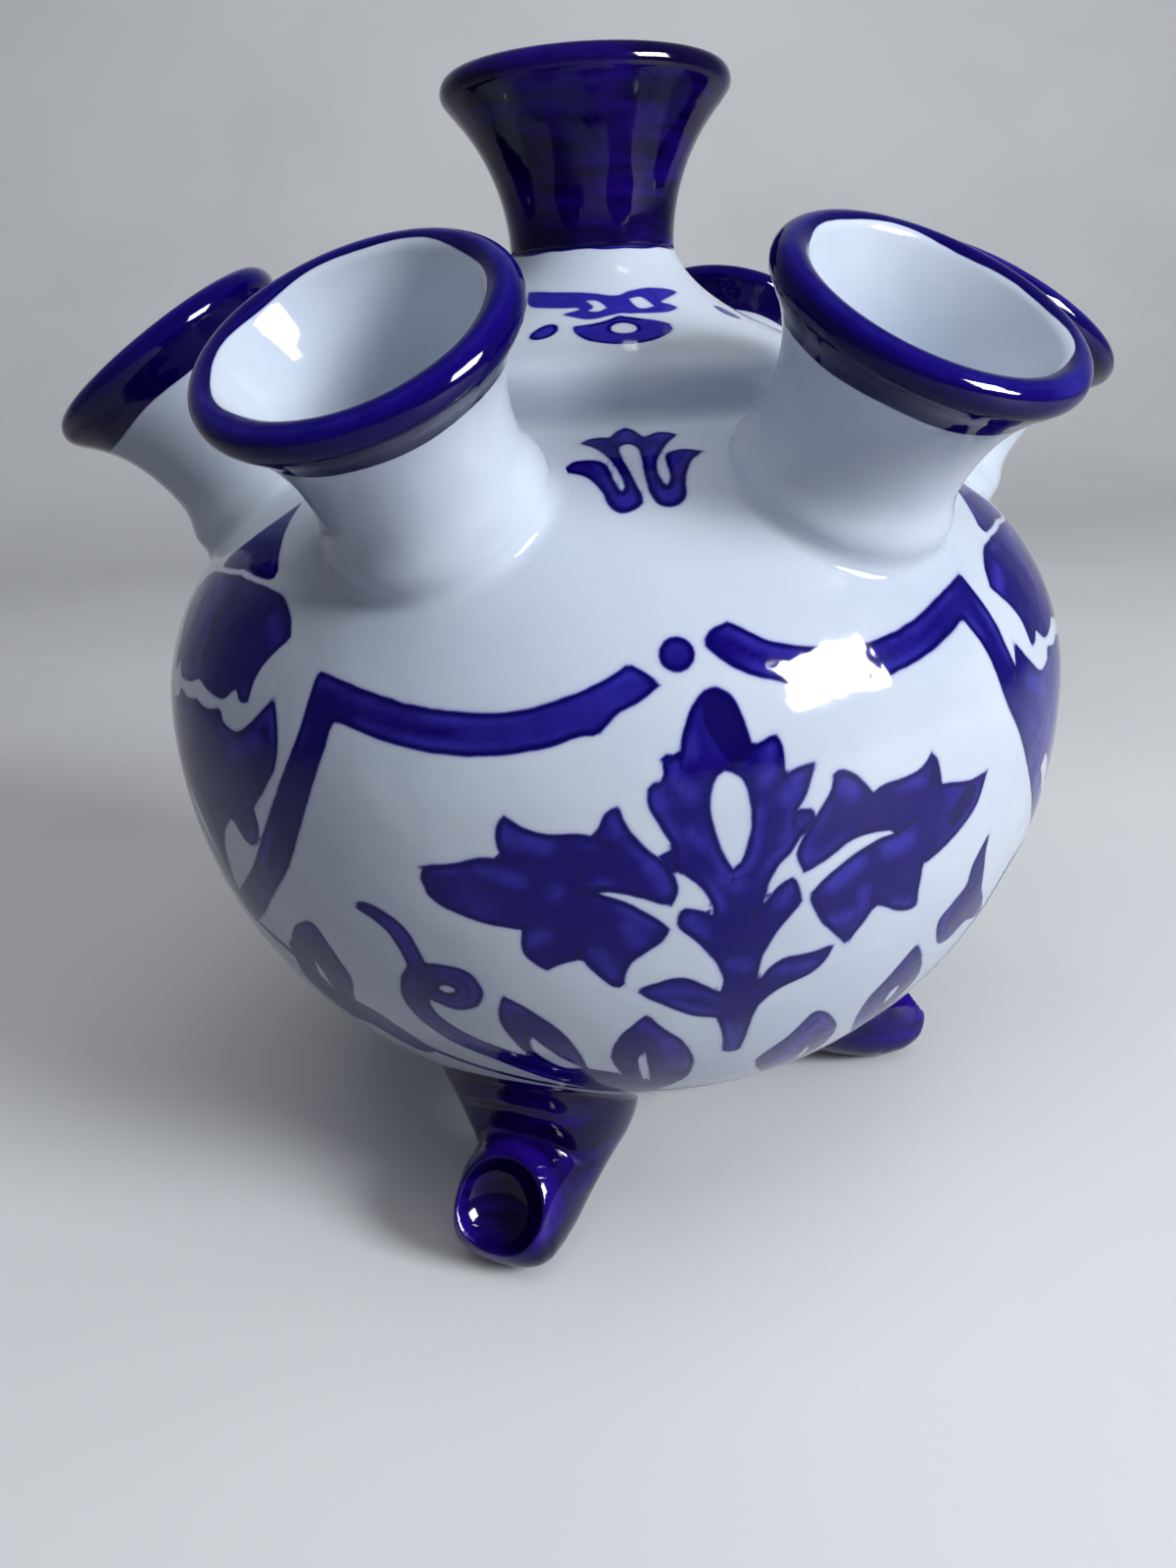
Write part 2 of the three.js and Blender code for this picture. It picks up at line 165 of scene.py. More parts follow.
CURL_AND_HEART = [
    [(-35.3, -13.7), (-33.5, -12.8), (-30.8, -13.9), (-28.7, -16.4), (-27.8, -20.3)],
    [(-27.6, -21.7), (-25, -21.6), (-22.5, -22.6), (-21.6, -26), (-22.8, -29.3), (-25.5, -30.8),
     (-28, -29.8)],
    [(-29, -29.1), (-28.6, -32.9), (-26, -36.6), (-22.5, -39.4)],
    [(-18.8, -41.6), (-20, -37.1), (-20.8, -31.8)],
    [(-19.6, -26.2), (-16.8, -29), (-14, -33.2), (-12.2, -38.9)],
    [(-11.5, -44.9), (-8.5, -46.5)],
    [(-7, -47.9), (-8.3, -41.4), (-7.1, -35.2)],
    [(-3.8, -29.9), (-2.1, -33.3), (0.6, -37.7), (2.4, -44.1), (2.1, -51.2)],
    [(0.1, -55.2), (-3.3, -59.8), (-8.2, -58.4), (-12.7, -55.1), (-17.9, -50.7), (-23.8, -44.5),
     (-28.8, -40.4), (-31.7, -35.8), (-32.8, -30.7), (-31.7, -25.7)],
    [(-30.2, -23), (-30.3, -20.9), (-31.6, -16.8)],
]
SECOND_LEAF_SLIT = [[(-17.6, -35.4), (-15.2, -40.4)], [(-12, -45), (-14.9, -44.6), (-17.8, -39.6)]]
HEART_SLIT = [[(-4.1, -39.3), (-3.6, -45.5)], [(-3.2, -51.5), (-4.2, -49.7), (-4.9, -42.7)]]
THIRD_LEAF = [
    [(12.7, -51.5), (12.1, -47.2), (14.9, -41.6), (16.8, -36.3), (18.9, -36.9), (21, -39.7),
     (23.1, -43.4), (24.6, -49), (24.8, -54.7)],
    [(22.3, -62.1), (19.3, -62.5)],
    [(16.3, -58.2)],
]
THIRD_LEAF_SLIT = [[(20.8, -47.8), (20.6, -50.4)], [(21.8, -57.1), (22.2, -53.5)]]
FOURTH_LEAF = [
    [(30.2, -27.6), (33.1, -32.3), (35.9, -38.3), (36.1, -44), (36.3, -51.3)],
    [(35.6, -54.4), (31.5, -53.1), (27, -44.8), (25.9, -38), (27.2, -34), (28.9, -29.9)],
]
FOURTH_LEAF_SLIT = [[(31.7, -37.5), (32.2, -40.6)], [(31.7, -43.6), (30.6, -39.4)]]
SPRIG = [
    [(38.4, -11.8), (38.6, -15.6), (40.2, -20.9)],
    [(41.1, -23.2), (44.1, -27.3), (45.4, -30.5)],
    [(40.5, -29.1), (37.9, -31.3), (35, -30.2), (32.7, -25.1), (34.3, -22.3), (36.1, -20), (36.2, -16.2)],
]
SIDE_LEAVES = [
    [(-48.4, -24), (-46.5, -21.3), (-43.3, -19), (-41.8, -20.1), (-40.4, -25.4), (-40.1, -29.4)],
    [(-42.5, -35.2), (-40, -36.3), (-37, -39.7)],
    [(-33.5, -45.6), (-36.7, -48), (-39.4, -47.3), (-44, -42.9), (-49, -43.8)],
    [(-52.1, -40.2), (-53.7, -36.4), (-51.8, -31.7), (-51, -27.5)],
]
SIDE_LEAF_SLIT = [[(-45.9, -27.8), (-45.6, -31)], [(-46, -34.6), (-47, -31.5)]]
SWAG_AND_LEFT_BAR = [
    [(-37.8, 18.2), (-31.1, 16.2), (-25.4, 14.7), (-19.2, 14.1), (-14.9, 14.4), (-10.2, 16), (-6.7, 17.9)],
    [(-4.3, 19.7), (-3.1, 18.7)],
    [(-1.2, 16.9), (-3.5, 14.8), (-5.7, 13.4), (-7.5, 11.2), (-9.4, 11), (-12.8, 9.6), (-17.7, 8.8),
     (-22.6, 8.8), (-27.8, 9.7), (-33, 11.3)],
    [(-34.9, 11.7), (-36.6, 5.7), (-40.5, -4.2), (-44.1, -11.2), (-51.7, -20.4)],
    [(-56.8, -25), (-60, -26.5)],
    [(-62, -23), (-52.4, -14.2), (-47.9, -7.8), (-42.4, 2.6), (-39.4, 10.1)],
]
SWAG_AND_RIGHT_BAR = [
    [(3, 21.5), (4.2, 23.1)],
    [(6.1, 24.1), (8.2, 22.4), (11, 20.6), (15.6, 19.3), (21.2, 19), (27.4, 20.6), (32.9, 23)],
    [(38.6, 25.2), (40.8, 18), (42, 12.8), (45, 4.6), (49.3, -3.9), (54.5, -11.5)],
    [(61, -19), (60.5, -24)],
    [(57.5, -22), (52, -15), (46.6, -6.6), (42.9, 0.2), (39.6, 6.3), (37.5, 13.6)],
    [(35.2, 19), (30.9, 16.9), (25.9, 15.1), (20.9, 14.1), (14.2, 14.4), (8.8, 16.3), (5.5, 18.3)],
]
TULIP = [
    [(-12.6, 50.6), (-10.8, 52.9), (-7.5, 53.2), (-5.3, 51.9), (-4.3, 48.3)],
    [(-3.5, 45.5), (-3, 47.2), (-4, 51.2), (-5.6, 54.5), (-8.4, 57)],
    [(-10.5, 57.7), (-8.3, 59.2), (-5.4, 59.5)],
    [(-4.5, 59.3), (-2.8, 61.1), (-0.8, 62), (0.9, 61.3), (1.9, 59.8)],
    [(2.4, 59), (5.9, 60.2)],
    [(9.5, 59.3), (6.3, 56.5), (3.6, 53), (2.6, 49.7)],
    [(3.1, 46.2), (4.1, 48.1), (4.3, 51.3), (5.1, 53.8), (8.1, 54.7)],
    [(12.1, 53.7), (8.8, 51.5), (6.7, 48.1), (5.5, 44), (3.9, 42.1), (1.6, 42.2), (0.5, 44.4),
     (0.3, 49.3), (0.5, 55), (-0.7, 56.9), (-2.6, 56.3), (-2.5, 53.6), (-1.6, 49.5), (-0.6, 44.6),
     (-0.9, 42.7), (-3.3, 41.3), (-5.2, 42.4), (-6.6, 46.4), (-8.8, 49.2)],
]

# The lily that hangs over the line between two panels, as its right half from top to bottom.
LILY_BUD = [[(0, 43), (2.5, 38.9), (5.4, 35)], [(8.8, 30.9), (8.4, 29.4), (4.5, 29.5), (0, 30)]]
LILY_LOBES = [
    [(0, 29.2), (4, 28.7), (8, 28.4), (12.5, 27.4), (15.5, 24.8)],
    [(16.9, 21.8), (14.6, 19), (12.9, 16.2)],
    [(12, 11.8), (10.3, 12.2), (9.3, 13.4), (6.8, 11.6), (3, 12), (0, 13)],
]
LILY_CUP = [
    [(0, 10.2), (3.2, 9.6), (6.4, 10.2)],
    [(7.4, 8.6), (10.5, 8), (13.7, 10.6)],
    [(16.5, 14.1), (17.5, 9.5), (17.2, 4.8), (14.8, 0.6)],
    [(12.4, -2.4), (12.6, -5.6), (11.2, -8.4), (9.2, -8.6)],
    [(7, -5.6), (4, -8.9), (2.1, -13.2), (1.3, -17)],
    [(0, -20.5)],
]

# Strokes of the brush: their points and half widths in millimetres.
GARLAND = [(-59, -25.5), (-52, -28.5), (-46, -34), (-40, -40), (-33, -46), (-25, -50.5), (-15, -55),
           (-5, -58.4), (5, -60), (14, -60.4), (22, -58.5), (30, -53.5), (37, -46), (42.4, -38.5),
           (46, -30.5), (50, -23), (59, -21.5)]
GARLAND_HALF_WIDTH = 0.8
DARK_PETAL = [
    [(2.3, 14.2), (2.3, 12.3), (2.7, 10.5), (3.4, 8.9), (4.2, 7.2)],
    [(4.7, 6.1), (5.8, 6.6), (6.7, 8.2), (6.5, 10.7), (5.7, 13.2), (4.5, 15.1), (3.1, 15.3)],
]
DARK_TOUCHES = [
    ([(10, 4.6), (9.2, 3.6), (8.3, 3.1)], 0.3),
    ([(6.9, 8.8), (6.5, 7.3), (5.7, 6.7)], 0.35),
    ([(-0.2, 8.3), (0.2, 6.5), (0.7, 6)], 0.3),
    ([(-1.9, 5.3), (-1.3, 4.1), (-0.5, 3.5)], 0.3),
    ([(7.5, -13.7), (7.2, -14.5)], 0.6),
    ([(3.7, -15.8), (4.1, -16.6)], 0.5),
    ([(4.9, -7.5), (4.6, -9.3)], 0.3),
    ([(11.3, 0.3), (11, -1.6)], 0.25),
    ([(-9.7, -8.8), (-7.8, -8.8)], 0.9),
    ([(-10.6, -8.9), (-13.6, -10.9), (-17.2, -13.3)], 0.25),
    ([(-8, -2.1), (-6.9, -2.5)], 0.7),
    ([(-10.1, -17.7), (-10.7, -18.6)], 0.6),
    ([(-25.7, -6.6), (-25.5, -9.7)], 0.8),
    ([(22.2, -6), (23.8, -6)], 0.6),
    ([(20.9, -16.6), (20.4, -15.2)], 0.6),
    ([(28.2, -2), (25.6, -5), (22.8, -5.8)], 0.3),
    ([(30.9, -6.8), (33, -4.3)], 1.6),
    ([(27.3, 1.3), (27.2, -0.7)], 1.0),
    ([(60, 38), (60, 32)], 0.7),
    ([(60, 25), (60, 17)], 0.9),
    ([(60, 8), (60, -12)], 0.9),
]
PALE_TOUCHES = [
    ([(11.2, 4.3), (10, 1.6)], 0.9),
    ([(9, 8.5), (8.2, 7.2)], 0.7),
    ([(8.5, 5.2), (7.8, 4.1)], 0.6),
    ([(10.8, -1.5), (10, -4)], 0.7),
    ([(-1.1, 7.4), (-0.8, 6.4)], 0.7),
    ([(-2.6, 3.6), (-2.2, 2.1)], 0.6),
    ([(1.2, 10.9), (1, 8.6)], 0.6),
    ([(-0.6, 5.2), (0.9, 3.4)], 0.5),
    ([(3.9, -8.3), (5.2, -9.4)], 0.7),
    ([(0.5, -1.5), (1.7, -3.4)], 0.5),
    ([(10.8, -10.6), (9.7, -12.8)], 0.6),
    ([(0.4, -13.7), (1.8, -16.2)], 0.6),
    ([(-1.8, -25.7), (1, -26.1)], 0.7),
    ([(10.7, -24.5), (14.1, -24.5)], 0.5),
    ([(5, -21.8), (6.8, -22.8)], 0.5),
    ([(7.1, 0), (6.7, -2.5)], 0.6),
    ([(-16.7, -0.1), (-16, -1.4), (-13.1, -2.3)], 1.0),
    ([(-2.9, -5.4), (-1.3, -8.7)], 1.1),
    ([(-6.5, 1.3), (-5.9, -0.6)], 0.8),
    ([(-5.6, -11.1), (-3.2, -13.5)], 1.0),
    ([(-5.6, -14), (-4.7, -16.4)], 0.8),
    ([(-15.7, -16.3), (-13.9, -15.4)], 0.8),
    ([(-8.9, -18.2), (-7.3, -22.1)], 0.8),
    ([(-12, -8.4), (-12.5, -9.8)], 0.5),
    ([(-19.5, -5.9), (-15.7, -7.4)], 0.6),
    ([(15.8, 2.7), (16.9, 0.8)], 1.0),
    ([(12.1, -7.7), (12.3, -6.3)], 0.8),
    ([(21.7, -7.9), (23.9, -7.9)], 1.4),
    ([(17.9, -9.2), (15.3, -11.3)], 1.3),
    ([(15.9, -17.7), (17.7, -17.5)], 0.8),
    ([(19.3, -14.1), (19.3, -16.4)], 0.7),
    ([(25.3, 0.2), (22.8, 0.3)], 0.6),
    ([(23.4, -17.5), (25.7, -18.7)], 0.5),
    ([(-4.2, -32.8), (-1.5, -37.6), (-0.4, -44.6)], 0.7),
    ([(19.4, -41), (17.9, -46), (18, -53.6)], 0.9),
    ([(-34, 15.5), (-25.9, 13.5), (-19.8, 13), (-14.2, 13.8), (-8.6, 16.2)], 0.3),
    ([(-32, 11.8), (-25.7, 10), (-19.8, 9.6), (-14.2, 10.4), (-8, 12.6)], 0.3),
    ([(9, 20.4), (15.4, 18.3), (21.4, 18), (28, 19.8), (35, 23)], 0.3),
    ([(47.6, 23.8), (44.8, 21)], 0.9),
    ([(72.4, 23.8), (75.2, 21)], 0.9),
    ([(50.6, 4.6), (46, 7.4)], 1.1),
    ([(69.4, 4.6), (74, 7.4)], 1.1),
]
TULIP_WASH = [
    ([(-10, 55.2), (-6.5, 54), (-4.6, 48), (-2.8, 43.6), (-1.6, 46), (-2, 52)], 1.1),
    ([(9, 55), (6, 52), (4.8, 47), (3, 43.8), (1.9, 47), (1.9, 53)], 1.1),
    ([(-0.6, 61.5), (-0.8, 58.2)], 1.2),
]

# Ornament of one panel of the collar: degrees, and millimetres down from the centre spout.
WINGS = [
    [(-41.4, -7.3), (-31.2, -7.6), (-14.3, -8.2), (-6.6, -8.6), (-1.4, -9.1), (2.2, -9.4), (5.9, -9.3),
     (11.2, -8.4), (24.1, -7.9), (35.8, -8.9)],
    [(30, -10.2), (22.6, -11.5), (25.5, -12.2)],
    [(28.3, -13.3), (20.7, -14.5), (8.1, -14.4), (3.3, -14.2), (-0.5, -14.7), (-8, -15.5), (-14, -14.6)],
    [(-19, -13.7), (-12, -12.5)],
    [(-13.9, -12), (-19.9, -11.9), (-27.2, -11.6), (-35.1, -10.7)],
]
WING_SLITS = [
    [[(-9.5, -10.4), (-5, -10.6)], [(-1, -12.4), (-4.5, -13.3)], [(-8.5, -13.1), (-6.5, -12)]],
    [[(9, -10.4), (15, -10.2)], [(18, -12.6), (11.5, -13)]],
]
HALF_ROUND = [
    [(2.5, -14.7), (8.4, -15.7), (13.6, -16.6)],
    [(18.2, -18), (16.4, -20.4), (8.6, -23.6), (0.3, -24.4), (-7.5, -22.7), (-12.4, -19.4)],
    [(-13.2, -17.4), (-7.4, -16.8), (-3, -16.1)],
]
COLLAR_TOUCHES = [
    ([(-40, -9.2), (-10, -10), (10, -9.9), (34, -9.2)], 5),
    ([(-16, -14), (6, -13), (26, -13)], 5),
    ([(-10, -18.6), (0, -22), (14, -19.6), (12, -17)], 4.2),
    ([(-24, -18.9), (-20, -18.4)], 3.2),
]


def seen_colour(red, green, blue):
    """A colour as the eye's 0 to 255 values, turned into the linear values that shaders take."""
    seen = np.array([red, green, blue]) / 255
    linear = np.where(seen <= 0.04045, seen / 12.92, ((seen + 0.055) / 1.055) ** 2.4)
    return tuple(float(value) for value in linear)


def sized(name, description, millimetres):
    """A length that the panel shows, given in millimetres and kept in metres."""
    return bpy.props.FloatProperty(
        name=name, description=description, default=millimetres * MM, unit="LENGTH")


def coloured(name, description, *seen):
    """A colour that the panel shows, given as the eye's 0 to 255 values."""
    return bpy.props.FloatVectorProperty(
        name=name, description=description, default=seen_colour(*seen), subtype="COLOR")


class BodySizes(bpy.types.PropertyGroup):
    radius: sized("Belly radius", "Radius of the body at its widest", 75)
    belly: sized("Belly height", "Height of the widest ring above the table", 85.6)
    drop: sized("Underside", "From the belly down to the bottom pole", 71)
    rise: sized("Shoulder", "From the belly up to where the body would close", 49.3)
    fullness: bpy.props.FloatProperty(
        name="Fullness", description="2 gives an ellipse and more a squarer body",
        default=2.12, min=1.5, max=4)
    wall: sized("Wall", "Thickness of the thrown wall", 5)
    mouth: sized("Mouth radius", "Opening of the body under the collar", 30)
    roll: sized("Slip roll", "Width of the smoothed slip where a piece is luted on", 1.8)


class CollarSizes(bpy.types.PropertyGroup):
    crease: sized("Crease radius", "Where the collar meets the body", 34.9)
    radius: sized("Bulge radius", "The collar at its widest", 37.4)
    rise: sized("Rise", "From the body up to the centre spout", 25.2)
    shoulder: sized("Shoulder radius", "Where the bulge turns into the hollow sweep", 21.3)
    shoulder_drop: sized("Shoulder drop", "From the centre spout down to the shoulder", 8.8)
    wall: sized("Wall", "Thickness of the dome", 4.5)
    roll: sized("Slip roll", "Width of the smoothed slip round the collar's foot", 3.2)


class SpoutSizes(bpy.types.PropertyGroup):
    tilt: bpy.props.FloatProperty(
        name="Lean", description="Angle between a leaning spout and the vase's axis",
        default=math.radians(34.2), subtype="ANGLE", unit="ROTATION")
    seat: sized("Seat radius", "From the vase's axis to where a spout's own axis meets the body", 54.07)
    length: sized("Length", "From the body to the lip, along the spout", 27.7)
    rim: sized("Lip radius", "Outer radius of a leaning spout's lip", 20.7)
    waist: sized("Waist radius", "Outer radius where a spout is slimmest", 14)
    waist_height: sized("Waist height", "From the body to the waist", 7.7)
    foot: sized("Foot radius", "Outer radius where a spout stands on the body", 15.8)
    wall: sized("Wall", "Thickness at the waist", 4)
    neck_waist: sized("Centre waist radius", "Outer radius of the centre spout at its foot", 13)
    neck_length: sized("Centre length", "From the collar to the centre spout's lip", 25.4)
    neck_rim: sized("Centre lip radius", "Outer radius of the centre spout's lip", 22.3)
    band: sized("Lip band", "How far the painted band comes down the outside of a lip", 10.4)
    band_inside: sized("Lip band inside", "How far the painted band goes down inside a lip", 1.5)
    bead: sized("Lip bead", "Half the thickness of the rolled lip", 2.4)


class GlazeColours(bpy.types.PropertyGroup):
    # Besides the glazes' own colours, thin paint and thin indigo also serve as painted highlight on lips and
    # feet, and line and indigo as painted shade on the lips.
    ground: coloured("Ground", "The white glaze", 207, 216, 229)
    pool: coloured("Pooled ground", "The white glaze where it lies thick", 199, 209, 225)
    paint: coloured("Paint", "The brushed blue", 15, 1, 108)
    wash: coloured("Thin paint", "The blue where the brush ran dry", 54, 48, 172)
    line: coloured("Line", "The dark outline of each stroke", 9, 1, 88)
    indigo: coloured("Indigo", "The solid dark glaze of feet and centre spout", 8, 1, 50)
    violet: coloured("Thin indigo", "The dark glaze where it breaks over an edge", 44, 14, 148)


# Curves and surfaces

def bezier(points, steps):
    """Points along a Bezier curve: the sum of the control points, weighted by the Bernstein polynomials."""
    points = np.asarray(points, float)
    order = len(points) - 1
    t = np.linspace(0, 1, steps)[:, None]
    weights = [math.comb(order, k) * t**k * (1 - t) ** (order - k) for k in range(order + 1)]
    return sum(weight * point for weight, point in zip(weights, points))


def smooth_run(points, steps=9):
    """A Catmull-Rom curve through the points: cubic between each two, with half the step from the
    point before to the point after as its slope at each point."""
    points = np.asarray(points, float)
    if len(points) < 3:
        return points
    padded = np.vstack([2 * points[0] - points[1], points, 2 * points[-1] - points[-2]])
    before, start, end, after = padded[:-3], padded[1:-2], padded[2:-1], padded[3:]
    t = np.linspace(0, 1, steps, endpoint=False)[None, :, None]
    a, b, c, d = (points[:, None, :] for points in (before, start, end, after))
    curve = 0.5 * (2 * b + (c - a) * t + (2 * a - 5 * b + 4 * c - d) * t**2 + (3 * b - a - 3 * c + d) * t**3)
    return np.vstack([curve.reshape(-1, points.shape[1]), points[-1]])


def closed_outline(runs):
    """The runs as one closed outline: each run ends on the first point of the next."""
    ends = [run + [following[0]] for run, following in zip(runs, runs[1:] + runs[:1])]
    return np.vstack([smooth_run(run)[:-1] for run in ends])


def once_round(count):
    """Azimuths of evenly spaced points round a circle, in radians."""
    return np.linspace(0, 2 * np.pi, count, endpoint=False)


def oval(middle, half_width, half_height, lean=0.0, steps=36):
    """An ellipse: its middle, plus half width times cosine and half height times sine, and the
    lean moves the top sideways."""
    t = once_round(steps)
    across = middle[0] + half_width * np.cos(t) + lean * np.sin(t)
    return np.stack([across, middle[1] + half_height * np.sin(t)], 1)


def mirrored(runs):
    """The right half of an outline, and the same mirrored in the vertical through zero."""
    half = np.vstack([smooth_run(run + [following[0]] if following else run)
                      for run, following in zip(runs, runs[1:] + [None])])
    return np.vstack([half, half[::-1] * (-1, 1)])


def arc_along(curve):
    """The length along a curve at each of its points."""
    return np.concatenate([[0], np.cumsum(np.linalg.norm(np.diff(curve, axis=0), axis=1))])


def read_off(at, along, curve):
    """The curve's points where the value along it is as asked, by straight lines between its points."""
    return np.stack([np.interp(at, along, curve[:, k]) for k in range(curve.shape[1])], 1)


def even_steps(curve, step):
    """The curve again, with its points a fixed step apart."""
    arc = arc_along(curve)
    at = np.linspace(0, arc[-1], max(2, int(round(arc[-1] / step)) + 1))
    return read_off(at, arc, curve)


def offset(profile, distance):
    """A profile of radius and height moved along its own normals, towards the right of its direction."""
    along = np.gradient(profile, axis=0)
    along /= np.linalg.norm(along, axis=1, keepdims=True)
    return profile + distance * np.stack([along[:, 1], -along[:, 0]], 1)


def placed(radius, height, azimuth):
    """Points at a radius, a height and an azimuth that starts at the front: the radius times the
    azimuth's sine, and minus the radius times its cosine."""
    x = radius * np.sin(azimuth)
    y = -radius * np.cos(azimuth)
    return np.stack([x, y, np.broadcast_to(height, x.shape)], -1)


def turned(profile, columns):
    """A profile of radius and height turned about the vertical axis. Rows run along the profile."""
    return placed(profile[:, :1], profile[:, 1:], once_round(columns))


def leaned(points, azimuth, lean, seat, height):
    """Points made about an upright axis, leaned outwards and set at a seat radius and an azimuth."""
    to_side = Matrix.Rotation(math.radians(azimuth), 4, "Z")
    place = to_side @ Matrix.Translation((0, -seat, height)) @ Matrix.Rotation(lean, 4, "X")
    turn = np.array(place)
    return points @ turn[:3, :3].T + turn[:3, 3]


def grid_faces(rows, columns, closed_rows=True):
    """Quads of a grid whose columns run round and close, and whose last row joins the first if the
    rows close too, with corners counter-clockwise from outside."""
    index = np.arange(rows * columns).reshape(rows, columns)
    below = index if closed_rows else index[:-1]
    above = np.roll(index, -1, 0) if closed_rows else index[1:]
    quads = np.stack([below, np.roll(below, -1, 1), np.roll(above, -1, 1), above], -1)
    return quads.reshape(-1, 4)


def fan(ring, middle):
    """Triangles from a closed ring of points, given by their indices, to one point in its middle."""
    return np.stack([ring, np.roll(ring, -1), np.full(len(ring), middle)], 1)


def zipped(first, first_angle, second, second_angle):
    """Triangles between two closed rings of points, each given by its indices and angles. Each edge of
    a ring joins the point of the other ring that comes last before the edge's end."""
    first_order, second_order = np.argsort(first_angle), np.argsort(second_angle)
    first, first_angle = first[first_order], first_angle[first_order]
    second, second_angle = second[second_order], second_angle[second_order]
    first_end = np.append(first_angle[1:], first_angle[0] + 2 * np.pi)
    second_end = np.append(second_angle[1:], second_angle[0] + 2 * np.pi)
    across = np.searchsorted(second_end, first_end, side="right") % len(second)
    back = np.searchsorted(first_end, second_end, side="left") % len(first)
    lower = np.stack([first, np.roll(first, -1), second[across]], 1)
    upper = np.stack([second, first[back], np.roll(second, -1)], 1)
    return np.vstack([lower, upper])


def make_piece(name, points, faces, material, slot, nodes, **marks):
    """Puts points, and faces of three or four corners, into a mesh that rides on the vase and stands
    for the CAD nodes. Marks are triples of values, one for each point, that the glaze reads by name."""
    mesh = bpy.data.meshes.new(name)
    points = np.asarray(points, float).reshape(-1, 3)
    sides = np.concatenate([np.full(len(part), part.shape[1]) for part in faces])
    corners = np.concatenate([part.ravel() for part in faces])
    mesh.vertices.add(len(points))
    mesh.vertices.foreach_set("co", points.astype(np.float32).ravel())
    mesh.loops.add(len(corners))
    mesh.loops.foreach_set("vertex_index", corners.astype(np.int32))
    mesh.polygons.add(len(sides))
    mesh.polygons.foreach_set("loop_start", np.concatenate([[0], np.cumsum(sides)[:-1]]).astype(np.int32))
    mesh.polygons.foreach_set("use_smooth", np.ones(len(sides), bool))
    for mark, values in marks.items():
        layer = mesh.attributes.new(mark, "FLOAT_VECTOR", "POINT")
        layer.data.foreach_set("vector", np.broadcast_to(values, points.shape).astype(np.float32).ravel())
    mesh.update(calc_edges=True)
    if mesh.validate():
        raise RuntimeError(f"{name} has faces that Blender had to drop")
    mesh.materials.append(material)
    piece = bpy.data.objects.new(name, mesh)
    bpy.context.collection.objects.link(piece)
    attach(piece, "root")
    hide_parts(*nodes)
    return piece


# The body's own form

def body_outline(body, inset=0.0, steps=4000):
    """Half the body's outline from pole to pole, a superellipse: radius is the belly's times the cosine
    to the power two over fullness, and height likewise with the sine, less below than above."""
    angle = np.linspace(-np.pi / 2, np.pi / 2, steps)
    power = 2 / body.fullness
    half = np.where(angle < 0, body.drop, body.rise) - inset
    radius = (body.radius - inset) * np.cos(angle).clip(0) ** power
    return np.stack([radius, body.belly + half * np.sign(angle) * np.abs(np.sin(angle)) ** power], 1)


def body_arc(body):
    """The outline, and the length along it counted from the belly, up positive."""
    outline = body_outline(body)
    arc = arc_along(outline)
    return outline, arc - np.interp(body.belly, outline[:, 1], arc)


def on_body(body, degrees, up):
    """The point of the body's surface at an azimuth in degrees and a length in metres up from the belly."""
    outline, arc = body_arc(body)
    radius, height = read_off(up, arc, outline).T
    return placed(radius, height, np.radians(degrees))


def arc_at(body, radius):
    """The length up from the belly to where the body's upper surface has a radius."""
    outline, arc = body_arc(body)
    upper = arc > 0
    return np.interp(-radius, -outline[upper, 0], arc[upper])


def shoulder_height(body, radius):
    """The height where the body's upper surface has a radius."""
    outline = body_outline(body)
    upper = outline[outline[:, 1] > body.belly]
    return float(np.interp(-radius, -upper[:, 0], upper[:, 1]))


def body_side(body, points):
    """How far points lie outside the body, about, and the outward direction there: the superellipse's
    own level, divided by the length of its gradient."""
    radius = np.hypot(points[..., 0], points[..., 1]).clip(1e-9)
    height = points[..., 2] - body.belly
    half = np.where(height < 0, body.drop, body.rise)
    n = body.fullness
    level = (radius / body.radius) ** n + np.abs(height / half) ** n - 1
    by_radius = n * (radius / body.radius) ** (n - 1) / body.radius
    by_height = n * np.abs(height / half) ** (n - 1) / half * np.sign(height)
    steep = np.hypot(by_radius, by_height)
    outward = np.stack(
        [points[..., 0] / radius * by_radius, points[..., 1] / radius * by_radius, by_height], -1)
    return level / steep, outward / steep[..., None]


def facing(vectors, towards):
    """The vectors at length 1, each turned round where it points away from the other."""
    vectors = vectors / np.linalg.norm(vectors, axis=1, keepdims=True)
    return vectors * np.sign(np.sum(vectors * towards, axis=1))[:, None]


